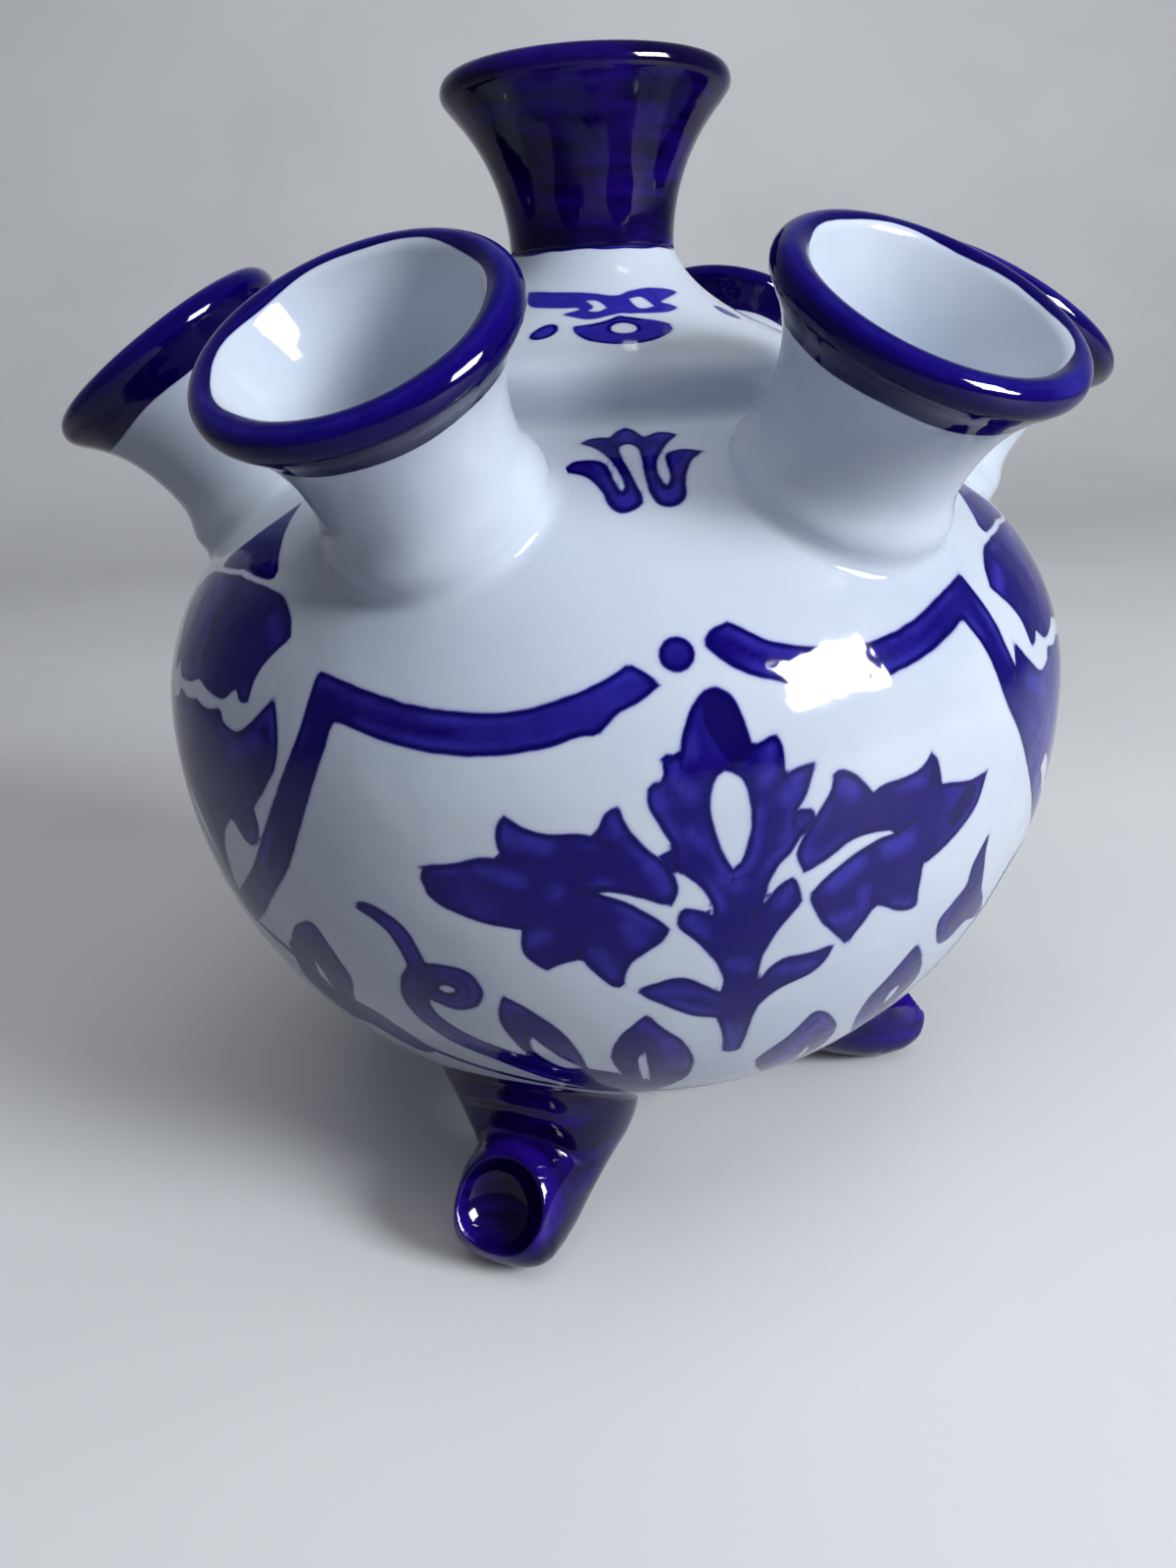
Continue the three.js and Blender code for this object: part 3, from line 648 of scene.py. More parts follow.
def slip_roll(body, tube, width):
    """A roll of slip in the corner between the body and a tube that stands on it. The tube is a grid
    whose rows go from inside the body outwards. In each column the row where the tube leaves the body
    is found, and a quadratic Bezier goes from the body, past that corner, up to the tube. Both its ends
    run on along the two surfaces, sinking a hair under them, and the roll is closed underneath."""
    level, _ = body_side(body, tube)
    rows, columns = level.shape
    column = np.arange(columns)
    row = np.argmax(level > 0, axis=0).clip(1)
    share = level[row - 1, column] / (level[row - 1, column] - level[row, column])
    crossing = row - 1 + share
    step = np.linalg.norm(np.diff(tube, axis=0), axis=2)[row - 1, column]

    def on_tube(at):
        below = np.floor(at).astype(int).clip(0, rows - 2)
        part = (at - below)[:, None]
        return tube[below, column] * (1 - part) + tube[below + 1, column] * part

    corner = on_tube(crossing)
    _, outward = body_side(body, corner)
    round_it = np.roll(corner, -1, 0) - np.roll(corner, 1, 0)
    away = facing(np.cross(round_it, outward), corner - corner.mean(0))

    def on_ground(distance, above):
        spot = corner + distance * away
        off, out_there = body_side(body, spot)
        return spot - (off - above)[:, None] * out_there

    high = on_tube(crossing + width / step)
    rise = on_tube(crossing + (width + ROLL_TAIL) / step)
    beyond = facing(np.cross(round_it, rise - high), away)
    t = np.linspace(0, 1, 9)[:, None, None]
    sweep = ((1 - t) ** 2 * on_ground(width, ROLL_PROUD) + 2 * t * (1 - t) * corner
             + t**2 * (high + ROLL_PROUD * beyond))
    sunk = corner - ROLL_ROOT_DOWN * outward - ROLL_ROOT_IN * away
    return np.concatenate([on_ground(width + ROLL_TAIL, -ROLL_SUNK)[None], sweep,
                           (rise - ROLL_SUNK * beyond)[None], sunk[None]])


# Painting

def nearest_on(points, line):
    """Distance from each point to a line of straight pieces: to the nearest place on each piece, which
    is its start plus its length times a share held between 0 and 1, and the least of them all. The
    pieces are taken a batch at a time, to spare memory."""
    batch = 24
    start, along = line[:-1], np.diff(line, axis=0)
    length = np.einsum("ij,ij->i", along, along).clip(1e-18)
    least = np.full(len(points), np.inf)
    for piece in range(0, len(start), batch):
        a, d, size = (values[piece:piece + batch] for values in (start, along, length))
        rel = points[:, None] - a
        share = (np.einsum("ijk,jk->ij", rel, d) / size).clip(0, 1)
        gap = rel - share[..., None] * d
        least = np.minimum(least, np.sqrt(np.einsum("ijk,ijk->ij", gap, gap)).min(1))
    return least


def within(flat, outline):
    """True where a point lies inside a closed outline: a ray to the right crosses it an odd number
    of times."""
    start, end = outline, np.roll(outline, -1, 0)
    x, y = flat[:, :1], flat[:, 1:]
    spans = (start[:, 1] > y) != (end[:, 1] > y)
    rise = np.where(end[:, 1] == start[:, 1], 1, end[:, 1] - start[:, 1])
    crosses = x < (end[:, 0] - start[:, 0]) * (y - start[:, 1]) / rise + start[:, 0]
    return np.count_nonzero(spans & crosses, axis=1) % 2 == 1


def painted_depth(flat, points, lift, shapes, strokes):
    """How deep inside the paint each point lies, in millimetres, negative outside: the most over the
    closed shapes of the distance to a shape's outline, and over the strokes of the half width less the
    distance. Distances are measured on the lifted outlines, in space, for points within a margin of
    degrees and millimetres round the line."""
    margin = (6, 4.5)
    depth = np.full(len(flat), -REACH)
    for line, half_width in [*shapes, *strokes]:
        low, high = line.min(0) - margin, line.max(0) + margin
        part = np.flatnonzero(np.all((flat > low) & (flat < high), axis=1))
        if half_width is None:
            away = nearest_on(points[part], lift(np.vstack([line, line[:1]]))) / MM
            deep = np.where(within(flat[part], line), away, -away)
        else:
            deep = half_width - nearest_on(points[part], lift(line)) / MM
        depth[part] = np.maximum(depth[part], deep)
    return depth.clip(-REACH, REACH)


def layered_depth(degrees, up, lift, layers):
    """The depth in each of six layers, for points at degrees round and millimetres up or down. The
    ornament repeats in every panel, and each layer is a list of closed shapes and a list of strokes."""
    local = (degrees + PANEL_DEGREES / 2) % PANEL_DEGREES - PANEL_DEGREES / 2
    flat = np.stack([local, up], 1)
    painted = np.flatnonzero(np.isfinite(up))
    depth = np.full((len(flat), len(layers)), -REACH)
    spots, raised = flat[painted], lift(flat[painted])
    centres = [(side * PANEL_DEGREES, 0) for side in (-1, 0, 1)]
    for number, (shapes, strokes) in enumerate(layers):
        outlines = [(outline + centre, None) for centre in centres for outline in shapes]
        lines = [(line + centre, half_width) for centre in centres for line, half_width in strokes]
        depth[painted, number] = painted_depth(spots, raised, lift, outlines, lines)
    return {"paint": depth[:, :3], "touch": depth[:, 3:]}


def body_ornament():
    """The six layers of one panel of the body, with the lily on the panel's right edge: three of paint,
    where neighbours lie in different layers so that the line between them stays, then the slits left
    white in them, and the dark and the pale touches of the brush."""
    bud, lobes, cup = (
        mirrored(half) + (PANEL_DEGREES / 2, 0) for half in (LILY_BUD, LILY_LOBES, LILY_CUP))
    first = [closed_outline(runs) for runs in (
        LEFT_LEAF_TOP, RIGHT_LEAF_TOP, CURL_AND_HEART, SPRIG, SWAG_AND_LEFT_BAR, THIRD_LEAF)]
    second = [closed_outline(runs) for runs in (
        LEFT_LEAF_FOOT, RIGHT_LEAF_FOOT, FOURTH_LEAF, SIDE_LEAVES, SWAG_AND_RIGHT_BAR)]
    third = [closed_outline(runs) for runs in (FLOWER, LINK, BRIDGE, TULIP)]
    swag_dot, curl_eye = oval((0.45, 20.35), 1.85, 2.3), oval((-26, -26.4), 0.95, 0.7)
    slits = [closed_outline(runs) for runs in (
        FLOWER_EYE, SECOND_LEAF_SLIT, HEART_SLIT, THIRD_LEAF_SLIT, FOURTH_LEAF_SLIT, SIDE_LEAF_SLIT)]
    dark, pale = ([(smooth_run(line), half_width) for line, half_width in touches]
                  for touches in (DARK_TOUCHES, PALE_TOUCHES + TULIP_WASH))
    return [
        ([*first, bud, cup], []),
        ([*second, lobes], []),
        ([*third, swag_dot], [(smooth_run(GARLAND), GARLAND_HALF_WIDTH)]),
        ([*slits, curl_eye], []),
        ([closed_outline(DARK_PETAL)], dark),
        ([], pale),
    ]


def body_marks(body, degrees, up):
    """The body's ornament, for points at degrees round and millimetres up from the belly."""
    def lift(flat):
        return on_body(body, flat[:, 0], flat[:, 1] * MM)

    return layered_depth(degrees, up, lift, body_ornament())


def collar_ornament():
    """The six layers of one panel of the collar: wings over a half round with a white eye, and two
    dots."""
    dots = [oval((-22, -18.7), 4.1, 2.5, lean=0.8), oval((52.4, -15), 3.8, 2.2, lean=-0.8)]
    eye = oval((2.5, -18.8), 3.9, 1.65)
    return [
        ([closed_outline(WINGS)], []),
        ([closed_outline(HALF_ROUND)], []),
        (dots, []),
        ([*(closed_outline(slit) for slit in WING_SLITS), eye], []),
        ([], []),
        ([], [(smooth_run(line), half_width) for line, half_width in COLLAR_TOUCHES]),
    ]


# Glazes

class Value:
    """A socket of a shader, or a number, with Python's operators: each adds a Math node."""

    def __init__(self, tree, socket):
        self.tree, self.socket = tree, socket

    def math(self, operation, *others):
        return self.tree.add("ShaderNodeMath", {"operation": operation}, [self, *others])

    def __add__(self, other):
        return self.math("ADD", other)

    def __neg__(self):
        return self * -1

    def __sub__(self, other):
        return self.math("SUBTRACT", other)

    def __rsub__(self, other):
        return self.tree.add("ShaderNodeMath", {"operation": "SUBTRACT"}, [other, self])

    def __mul__(self, other):
        return self.math("MULTIPLY", other)

    __radd__, __rmul__ = __add__, __mul__


class Glaze:
    """A material's nodes, made by one method and by short names for what glazes are mixed from."""

    def __init__(self, name):
        self.material = bpy.data.materials.new(name)
        self.material.use_nodes = True
        self.nodes, self.links = self.material.node_tree.nodes, self.material.node_tree.links
        self.nodes.clear()

    def add(self, kind, settings=None, inputs=(), output=0):
        """A node of a kind: its settings first, then its sockets' values or links, by place or by name."""
        node = self.nodes.new(kind)
        for setting, value in (settings or {}).items():
            setattr(node, setting, value)
        for key, value in inputs.items() if isinstance(inputs, dict) else enumerate(inputs):
            if isinstance(value, Value):
                self.links.new(value.socket, node.inputs[key])
            else:
                node.inputs[key].default_value = value
        return Value(self, node.outputs[output]) if node.outputs else None

    def marks(self, name):
        """The three values that a mesh carries under this name."""
        triple = self.add("ShaderNodeAttribute", {"attribute_name": name}, output="Vector")
        return [self.add("ShaderNodeSeparateXYZ", {}, [triple], output=axis) for axis in range(3)]

    def place(self, stretch=(1, 1, 1)):
        """Object coordinates, stretched."""
        spot = self.add("ShaderNodeTexCoord", output="Object")
        return self.add("ShaderNodeMapping", {}, {"Vector": spot, "Scale": stretch})

    def cloud(self, scale, detail=2.0, roughness=0.5, stretch=(1, 1, 1)):
        """Soft noise between about 0.2 and 0.8, so many to the metre."""
        settings = {"Vector": self.place(stretch), "Scale": scale, "Detail": detail, "Roughness": roughness}
        return self.add("ShaderNodeTexNoise", {}, settings)

    def between(self, value, low, high):
        """0 below low, 1 above high and smooth between."""
        settings = {"Value": value, "From Min": low, "From Max": high}
        return self.add("ShaderNodeMapRange", {"interpolation_type": "SMOOTHSTEP"}, settings)

    def blend(self, share, first, second):
        """A colour between two colours."""
        colours = {0: share, 6: self.full(first), 7: self.full(second)}
        return self.add("ShaderNodeMix", {"data_type": "RGBA"}, colours, output=2)

    @staticmethod
    def full(colour):
        return colour if isinstance(colour, Value) else (*colour, 1.0)

    def depth(self):
        """How deep in the paint, in millimetres: the most of the three layers, cut by the slits, with
        a slight wobble of the edge, and the dark and the pale touches, which on the lips and the feet are
        painted shade and painted highlight."""
        wobble = (self.cloud(420, 1, 0.5) - 0.5) * 0.3
        layers = self.marks("paint")
        slit, dark, pale = self.marks("touch")
        most = layers[0].math("MAXIMUM", layers[1]).math("MAXIMUM", layers[2])
        return most.math("MINIMUM", -slit) + wobble, dark, pale

    def finish(self, colour, roughness, height, depth, coat):
        """The glossy clay body under its glaze, with a height that ripples the surface."""
        ripple = self.add("ShaderNodeBump", {}, {"Height": height, "Strength": 1.0, "Distance": depth})
        sockets = {
            "Base Color": colour, "Roughness": roughness, "Normal": ripple, "IOR": 1.45,
            "Specular IOR Level": 0.15, "Coat Weight": coat, "Coat Roughness": 0.02, "Coat IOR": 1.4,
            "Coat Normal": ripple,
        }
        shader = self.add("ShaderNodeBsdfPrincipled", {}, sockets)
        self.add("ShaderNodeOutputMaterial", {}, {"Surface": shader})
        return self.material


def painted_glaze(colours):
    """White glaze over brushed blue: a dark line just inside each stroke's edge, a fill that goes from
    full to thin with a pale band inside the line, and a faint bleed outside. On the spouts' lips the
    touches are painted light: a painted highlight along the crest and painted shade away from it."""
    glaze = Glaze("painted_glaze")
    depth, dark, pale = glaze.depth()
    covered = glaze.between(depth, -0.2, 0.2)
    bleed = glaze.between(depth, -0.75, 0.05) * 0.16
    patch = glaze.cloud(80, 1.5, 0.5)
    inner = glaze.between(depth + (patch - 0.5) * 0.9, 0.4, 1.15)
    near_line = inner * (1 - glaze.between(depth, 1.2, 2.6)) * glaze.between(patch, 0.44, 0.66)
    thin = glaze.between(glaze.cloud(60, 2, 0.5, (1, 1, 0.6)), 0.46, 0.72)
    streak = glaze.between(glaze.cloud(300, 3, 0.65, (1, 1, 0.35)), 0.36, 0.7)
    ragged = (glaze.cloud(260, 3, 0.65) - 0.5) * 1.8
    # Pale and dark touches of the brush; on the spouts' lips these are a painted highlight along the crest
    # and painted shade below and inside it.
    pale_touch = glaze.between(pale + ragged, -1.5, 1.2)
    dark_touch = glaze.between(dark + ragged * 0.25, -0.15, 0.3)
    washed = (thin * 0.5).math("MAXIMUM", near_line * 0.75).math("MAXIMUM", pale_touch * 0.8)
    fill = glaze.blend(washed, colours.paint, colours.wash)
    fill = glaze.blend(streak * 0.3, fill, colours.line)
    light = (glaze.between(pale, 2.2, 3.6) * 0.7).math("MAXIMUM", 1 - glaze.between(depth, -0.1, 0.35))
    line = glaze.blend(light, colours.line, colours.wash)
    stroke = glaze.blend(inner * (1 - dark_touch * 0.7), line, fill)
    # Deep indigo in the dark petals, and painted shade on the lips furthest from the crest.
    deep = (glaze.between(dark, 2.2, 3.4) * 0.65).math("MAXIMUM", dark_touch * 0.28)
    stroke = glaze.blend(deep, stroke, colours.indigo)
    pooled = glaze.between(glaze.cloud(38, 3, 0.5), 0.4, 0.65)
    ground = glaze.blend(pooled, colours.ground, colours.pool)
    colour = glaze.blend(covered * (1 - bleed) + bleed, ground, stroke)
    ripple = glaze.cloud(48, 2, 0.45) + glaze.cloud(210, 2, 0.5) * 0.25
    return glaze.finish(colour, covered * -0.02 + 0.08, ripple, 0.4 * MM, 0.1)


def dark_glaze(colours):
    """Dark glaze laid on with a broad brush round the piece: clouds and streaks from indigo to violet,
    and white where it was wiped away. Violet is also a painted highlight along the centre spout's crest
    and round the feet's hollows."""
    glaze = Glaze("dark_glaze")
    depth, dark, pale = glaze.depth()
    covered = glaze.between(depth, -0.1, 0.16)
    cloud = glaze.between(glaze.cloud(60, 3, 0.6), 0.42, 0.7)
    streak = glaze.between(glaze.cloud(110, 3, 0.65, (0.4, 0.4, 3.2)), 0.44, 0.72)
    # Violet where the glaze is thin, and as a painted highlight along the centre spout's crest and round the
    # rims of the feet's hollows.
    thin = cloud * 0.4 + streak * 0.35 + glaze.between(pale, -1.2, 1.2) * 0.5
    indigo = glaze.blend(thin * (1 - glaze.between(dark, -1, 1)), colours.indigo, colours.violet)
    colour = glaze.blend(covered, colours.ground, indigo)
    ripple = glaze.cloud(60, 2, 0.45) + glaze.cloud(260, 2, 0.5) * 0.16
    return glaze.finish(colour, cloud * 0.03 + 0.07, ripple, 0.3 * MM, 0.1)


def glaze_of(maker):
    """The glaze that a maker function gives, made once and then shared by every piece."""
    made = bpy.data.materials.get(maker.__name__)
    return made or maker(bpy.context.scene.vase_colours)


# Pieces

def bored(points, triangles, azimuth, sizes, height, radius):
    """Cuts a round bore: triangles wholly inside it go, and the points inside that stay move out to the
    bore's circle. Gives the triangles left and the bore's rim, as indices and angles."""
    start_and_ways = np.array([[0.0, 0, 0], [0, 0, 1], [1, 0, 0], [0, 1, 0]])
    place = leaned(start_and_ways, azimuth, sizes.tilt, sizes.seat, height)
    origin, axis, right, up = place[0], *(place[1:] - place[0])
    rel = points - origin
    across, along = rel @ right, rel @ up
    near = np.abs(rel @ axis) < 2 * radius
    reach = np.hypot(across, along)
    inside = near & (reach < radius)
    gone = inside[triangles].all(1)
    used_by_gone = np.zeros(len(points), bool)
    used_by_gone[triangles[gone]] = True
    kept = triangles[~gone]
    used_by_kept = np.zeros(len(points), bool)
    used_by_kept[kept] = True
    moved = np.flatnonzero(inside & used_by_kept)
    push = (radius / reach[moved] - 1)[:, None]
    points[moved] += push * (across[moved, None] * right + along[moved, None] * up)
    rim = np.flatnonzero(inside & used_by_kept & used_by_gone)
    return kept, rim, np.arctan2(along[rim], across[rim])


def globe_rings(body):
    """The rings of the body's wall, from the bottom pole up the outside, over the mouth and down the
    inside to the bottom pole again: radius and height, how many points go round, and how far up the
    outside from the belly, which the inside hasn't."""
    outline, arc = body_arc(body)
    mouth = arc_at(body, body.mouth)
    up = np.concatenate([np.arange(arc[0] + COARSE_RING, -ORNAMENT_REACH, COARSE_RING),
                         np.arange(-ORNAMENT_REACH, mouth, FINE_RING), [mouth]])
    outer = read_off(up, arc, outline)
    below = [up < limit * MM for limit, _ in SPARSE_ROUNDS]
    counts = np.select(below, [count for _, count in SPARSE_ROUNDS], FULL_ROUND)
    inner = body_outline(body, body.wall)
    inner = even_steps(inner[(inner[:, 0] < body.mouth - body.wall / 2).argmin():][::-1], 4 * MM)
    inner = inner[(inner[:, 1] < outer[-1, 1] - 1 * MM) & (inner[:, 0] > 4 * MM)]
    rings = np.vstack([outer, inner])
    inner_counts = np.full(len(inner), INNER_ROUND)
    return rings, np.concatenate([counts, inner_counts]), np.concatenate([up, np.full(len(inner), np.nan)])


class VASE_OT_globe(bpy.types.Operator):
    """Make the round body, with its painted panels and the bores under the spouts"""

    bl_idname = "vase.globe"
    bl_label = "Body"

    def execute(self, context):
        body, spout = context.scene.vase_body, context.scene.vase_spouts
        rings, counts, ring_up = globe_rings(body)
        starts = np.concatenate([[0], np.cumsum(counts)])
        rows = [turned(ring[None], count)[0] for ring, count in zip(rings, counts)]
        poles = [(0, 0, rings[0, 1] - POLE_DROP), (0, 0, rings[-1, 1] - INNER_POLE_DROP)]
        points = np.vstack([*rows, poles])
        index = [np.arange(start, start + count) for start, count in zip(starts, counts)]
        angle = [once_round(count) for count in counts]
        strips = [zipped(index[k], angle[k], index[k + 1], angle[k + 1]) for k in range(len(counts) - 1)]
        caps = [fan(index[0][::-1], len(points) - 2), fan(index[-1], len(points) - 1)]
        outer_end = starts[np.count_nonzero(np.isfinite(ring_up))]
        triangles = np.vstack([*strips, *caps])
        is_inner = (triangles >= outer_end).any(1)
        outer, inner = triangles[~is_inner], triangles[is_inner]
        seat_height = shoulder_height(body, spout.seat)
        walls = []
        for azimuth in spout_azimuths():
            bore = (azimuth, spout, seat_height, spout.waist - 1 * MM)
            outer, *front_rim = bored(points, outer, *bore)
            inner, *back_rim = bored(points, inner, *bore)
            walls.append(zipped(*front_rim, *back_rim)[:, ::-1])
        triangles = np.vstack([outer, inner, *walls])
        used = np.zeros(len(points), bool)
        used[triangles] = True
        renumber = np.cumsum(used) - 1
        degrees = np.degrees(np.concatenate([*angle, [0, 0]]))
        up = np.append(np.repeat(ring_up, counts), [np.nan, np.nan])
        up[np.abs(up) > ORNAMENT_REACH] = np.nan
        marks = {name: depth[used] for name, depth in body_marks(body, degrees, up / MM).items()}
        make_piece("globe", points[used], [renumber[triangles]], glaze_of(painted_glaze),
                   "painted_white_glaze", ["body_globe"], **marks)
        return {"FINISHED"}


def spout_azimuths():
    """The azimuths of the leaning spouts, in degrees, evenly round from the first."""
    return [SPOUT_AZIMUTH + k * 360 / SPOUTS for k in range(SPOUTS)]


def collar_outer(body, collar, neck_waist):
    """The collar's outer curve from the crease up: a bulging side, then a hollow sweep to the centre
    spout, as three Bezier curves."""
    crease = shoulder_height(body, collar.crease)
    top = shoulder_height(body, COLLAR_BASE) + collar.rise
    shoulder = (collar.shoulder, top - collar.shoulder_drop)
    tuck = bezier([(collar.crease, crease - 1 * MM), (collar.crease + 0.9 * MM, crease + 1.2 * MM),
                   (collar.radius, crease + 3 * MM), (collar.radius, crease + 5.5 * MM)], 20)
    bulge = bezier([(collar.radius, crease + 5.5 * MM), (collar.radius, crease + 10 * MM),
                    (collar.shoulder + 9.5 * MM, shoulder[1] - 6 * MM), shoulder], 60)
    sweep = bezier([shoulder, (collar.shoulder - 4 * MM, shoulder[1] + 2.5 * MM),
                    (neck_waist + 1.2 * MM, top - 3.3 * MM), (neck_waist, top)], 40)
    return np.vstack([tuck[:-1], bulge[:-1], sweep]), top


class VASE_OT_collar(bpy.types.Operator):
    """Make the domed collar with its painted wings, and the slip round its foot"""

    bl_idname = "vase.collar"
    bl_label = "Collar"

    def execute(self, context):
        body, collar, spout = context.scene.vase_body, context.scene.vase_collar, context.scene.vase_spouts
        outer, top = collar_outer(body, collar, spout.neck_waist)
        fine = even_steps(outer, 0.5 * MM)
        bore = spout.neck_waist - spout.wall
        hollow = offset(even_steps(outer, 2 * MM), -collar.wall)[::-1]
        hollow = hollow[(hollow[:, 0] > bore + 0.5 * MM) & (hollow[:, 1] > outer[0, 1] - 1 * MM)]
        foot_height = outer[0, 1] - COLLAR_FOOT
        foot = [(collar.crease - collar.wall, foot_height), (collar.crease - 0.6 * MM, foot_height)]
        throat = [(bore, top), (bore, hollow[0, 1])]
        profile = np.vstack([fine, throat, hollow, foot])
        columns = 360
        points = turned(profile, columns)
        arc = arc_along(fine) - arc_along(fine)[-1]
        unseen = np.full(len(profile) - len(fine), np.nan)
        down = np.repeat(np.append(arc / MM, unseen), columns)
        degrees = np.tile(np.linspace(0, 360, columns, endpoint=False), len(profile))

        def lift(flat):
            radius, height = read_off(flat[:, 1] * MM, arc, fine).T
            return placed(radius, height, np.radians(flat[:, 0]))

        marks = layered_depth(degrees, down, lift, collar_ornament())
        uneven = 0.1 * np.sin(np.radians(5 * degrees)) + 0.07 * np.sin(np.radians(13 * degrees + 40))
        indigo = np.nan_to_num(2.5 * (down + 0.4 + uneven), nan=-REACH)
        marks["paint"][:, 0] = np.maximum(marks["paint"][:, 0], indigo)
        make_piece("collar", points, [grid_faces(len(profile), columns)],
                   glaze_of(painted_glaze), "painted_white_glaze", ["domed_collar"], **marks)
        inside = (collar.crease - 0.3 * MM, outer[0, 1] - 1.2 * MM)
        tube = turned(even_steps(np.vstack([inside, outer[:45]]), 0.15 * MM), columns)
        roll = slip_roll(body, tube, collar.roll)
        x, y, _ = roll.reshape(-1, 3).T
        marks = body_marks(body, np.degrees(np.arctan2(x, -y)), arc_at(body, np.hypot(x, y)) / MM)
        make_piece("collar_seam", roll, [grid_faces(len(roll), columns)],
                   glaze_of(painted_glaze), "white_glaze", ["collar_slip_seam"], **marks)
        return {"FINISHED"}


# The row of a lip's bead that is its crest.
CREST_ROW = 26


def trumpet(waist, waist_height, rim, length, bead):
    """A spout's outer curve from its waist: a flaring Bezier curve up to the groove under the lip, and
    then the lip, a round bead from its underside over its crest to its inside."""
    rise = length - waist_height
    flare = bezier([(waist, waist_height), (waist, waist_height + 0.3 * rise),
                    (waist + 0.27 * (rim - waist), waist_height + 0.575 * rise),
                    (rim - GROOVE_IN, length - GROOVE_DOWN)], 60)
    angle = np.radians(np.arange(-40, 156, 5))
    lip = np.stack([rim - bead * (1 - np.cos(angle)), length - bead * (1 - np.sin(angle))], 1)
    return flare, lip


def bore_down(mouth, waist, waist_height, wall):
    """The bore from the lip's inside down to the waist, as a quadratic Bezier curve."""
    low = (waist - wall + 1 * MM, (mouth[1] + waist_height) / 2 - 1 * MM)
    return bezier([mouth, low, (waist - wall, waist_height)], 30)[1:]


def band_depth(profile, crest, outside, inside):
    """Paint depth along a profile that goes up the outside, over the lip at the crest row and down the
    inside: how far each row is from the band's nearer edge, in millimetres, made steeper so that the
    edge has hardly any line. Also painted light on the lip: a painted highlight in a narrow line just
    outside its crest, and painted shade, the darker the further from that line, up and down."""
    arc = (arc_along(profile) - arc_along(profile)[crest]) / MM
    band = 2.2 * np.minimum(arc + outside / MM, inside / MM - arc)
    from_line = np.abs(arc + 1)
    # Painted light on the lip: no slit, painted shade away from the crest's line, and a painted highlight
    # along it.
    touch = np.stack([np.full(len(arc), -REACH), 1.3 * from_line - 1.6, -0.6 - from_line], 1)
    return band, touch.clip(-REACH, REACH)


def brush_sway(number, columns):
    """How unevenly the brush went round a lip, in millimetres, different on each numbered spout: a sine
    wave of three to the round and a smaller one of seven."""
    azimuth = once_round(columns)
    return 0.6 * np.sin(3 * azimuth + number) + 0.3 * np.sin(7 * azimuth + 2.4 * number)


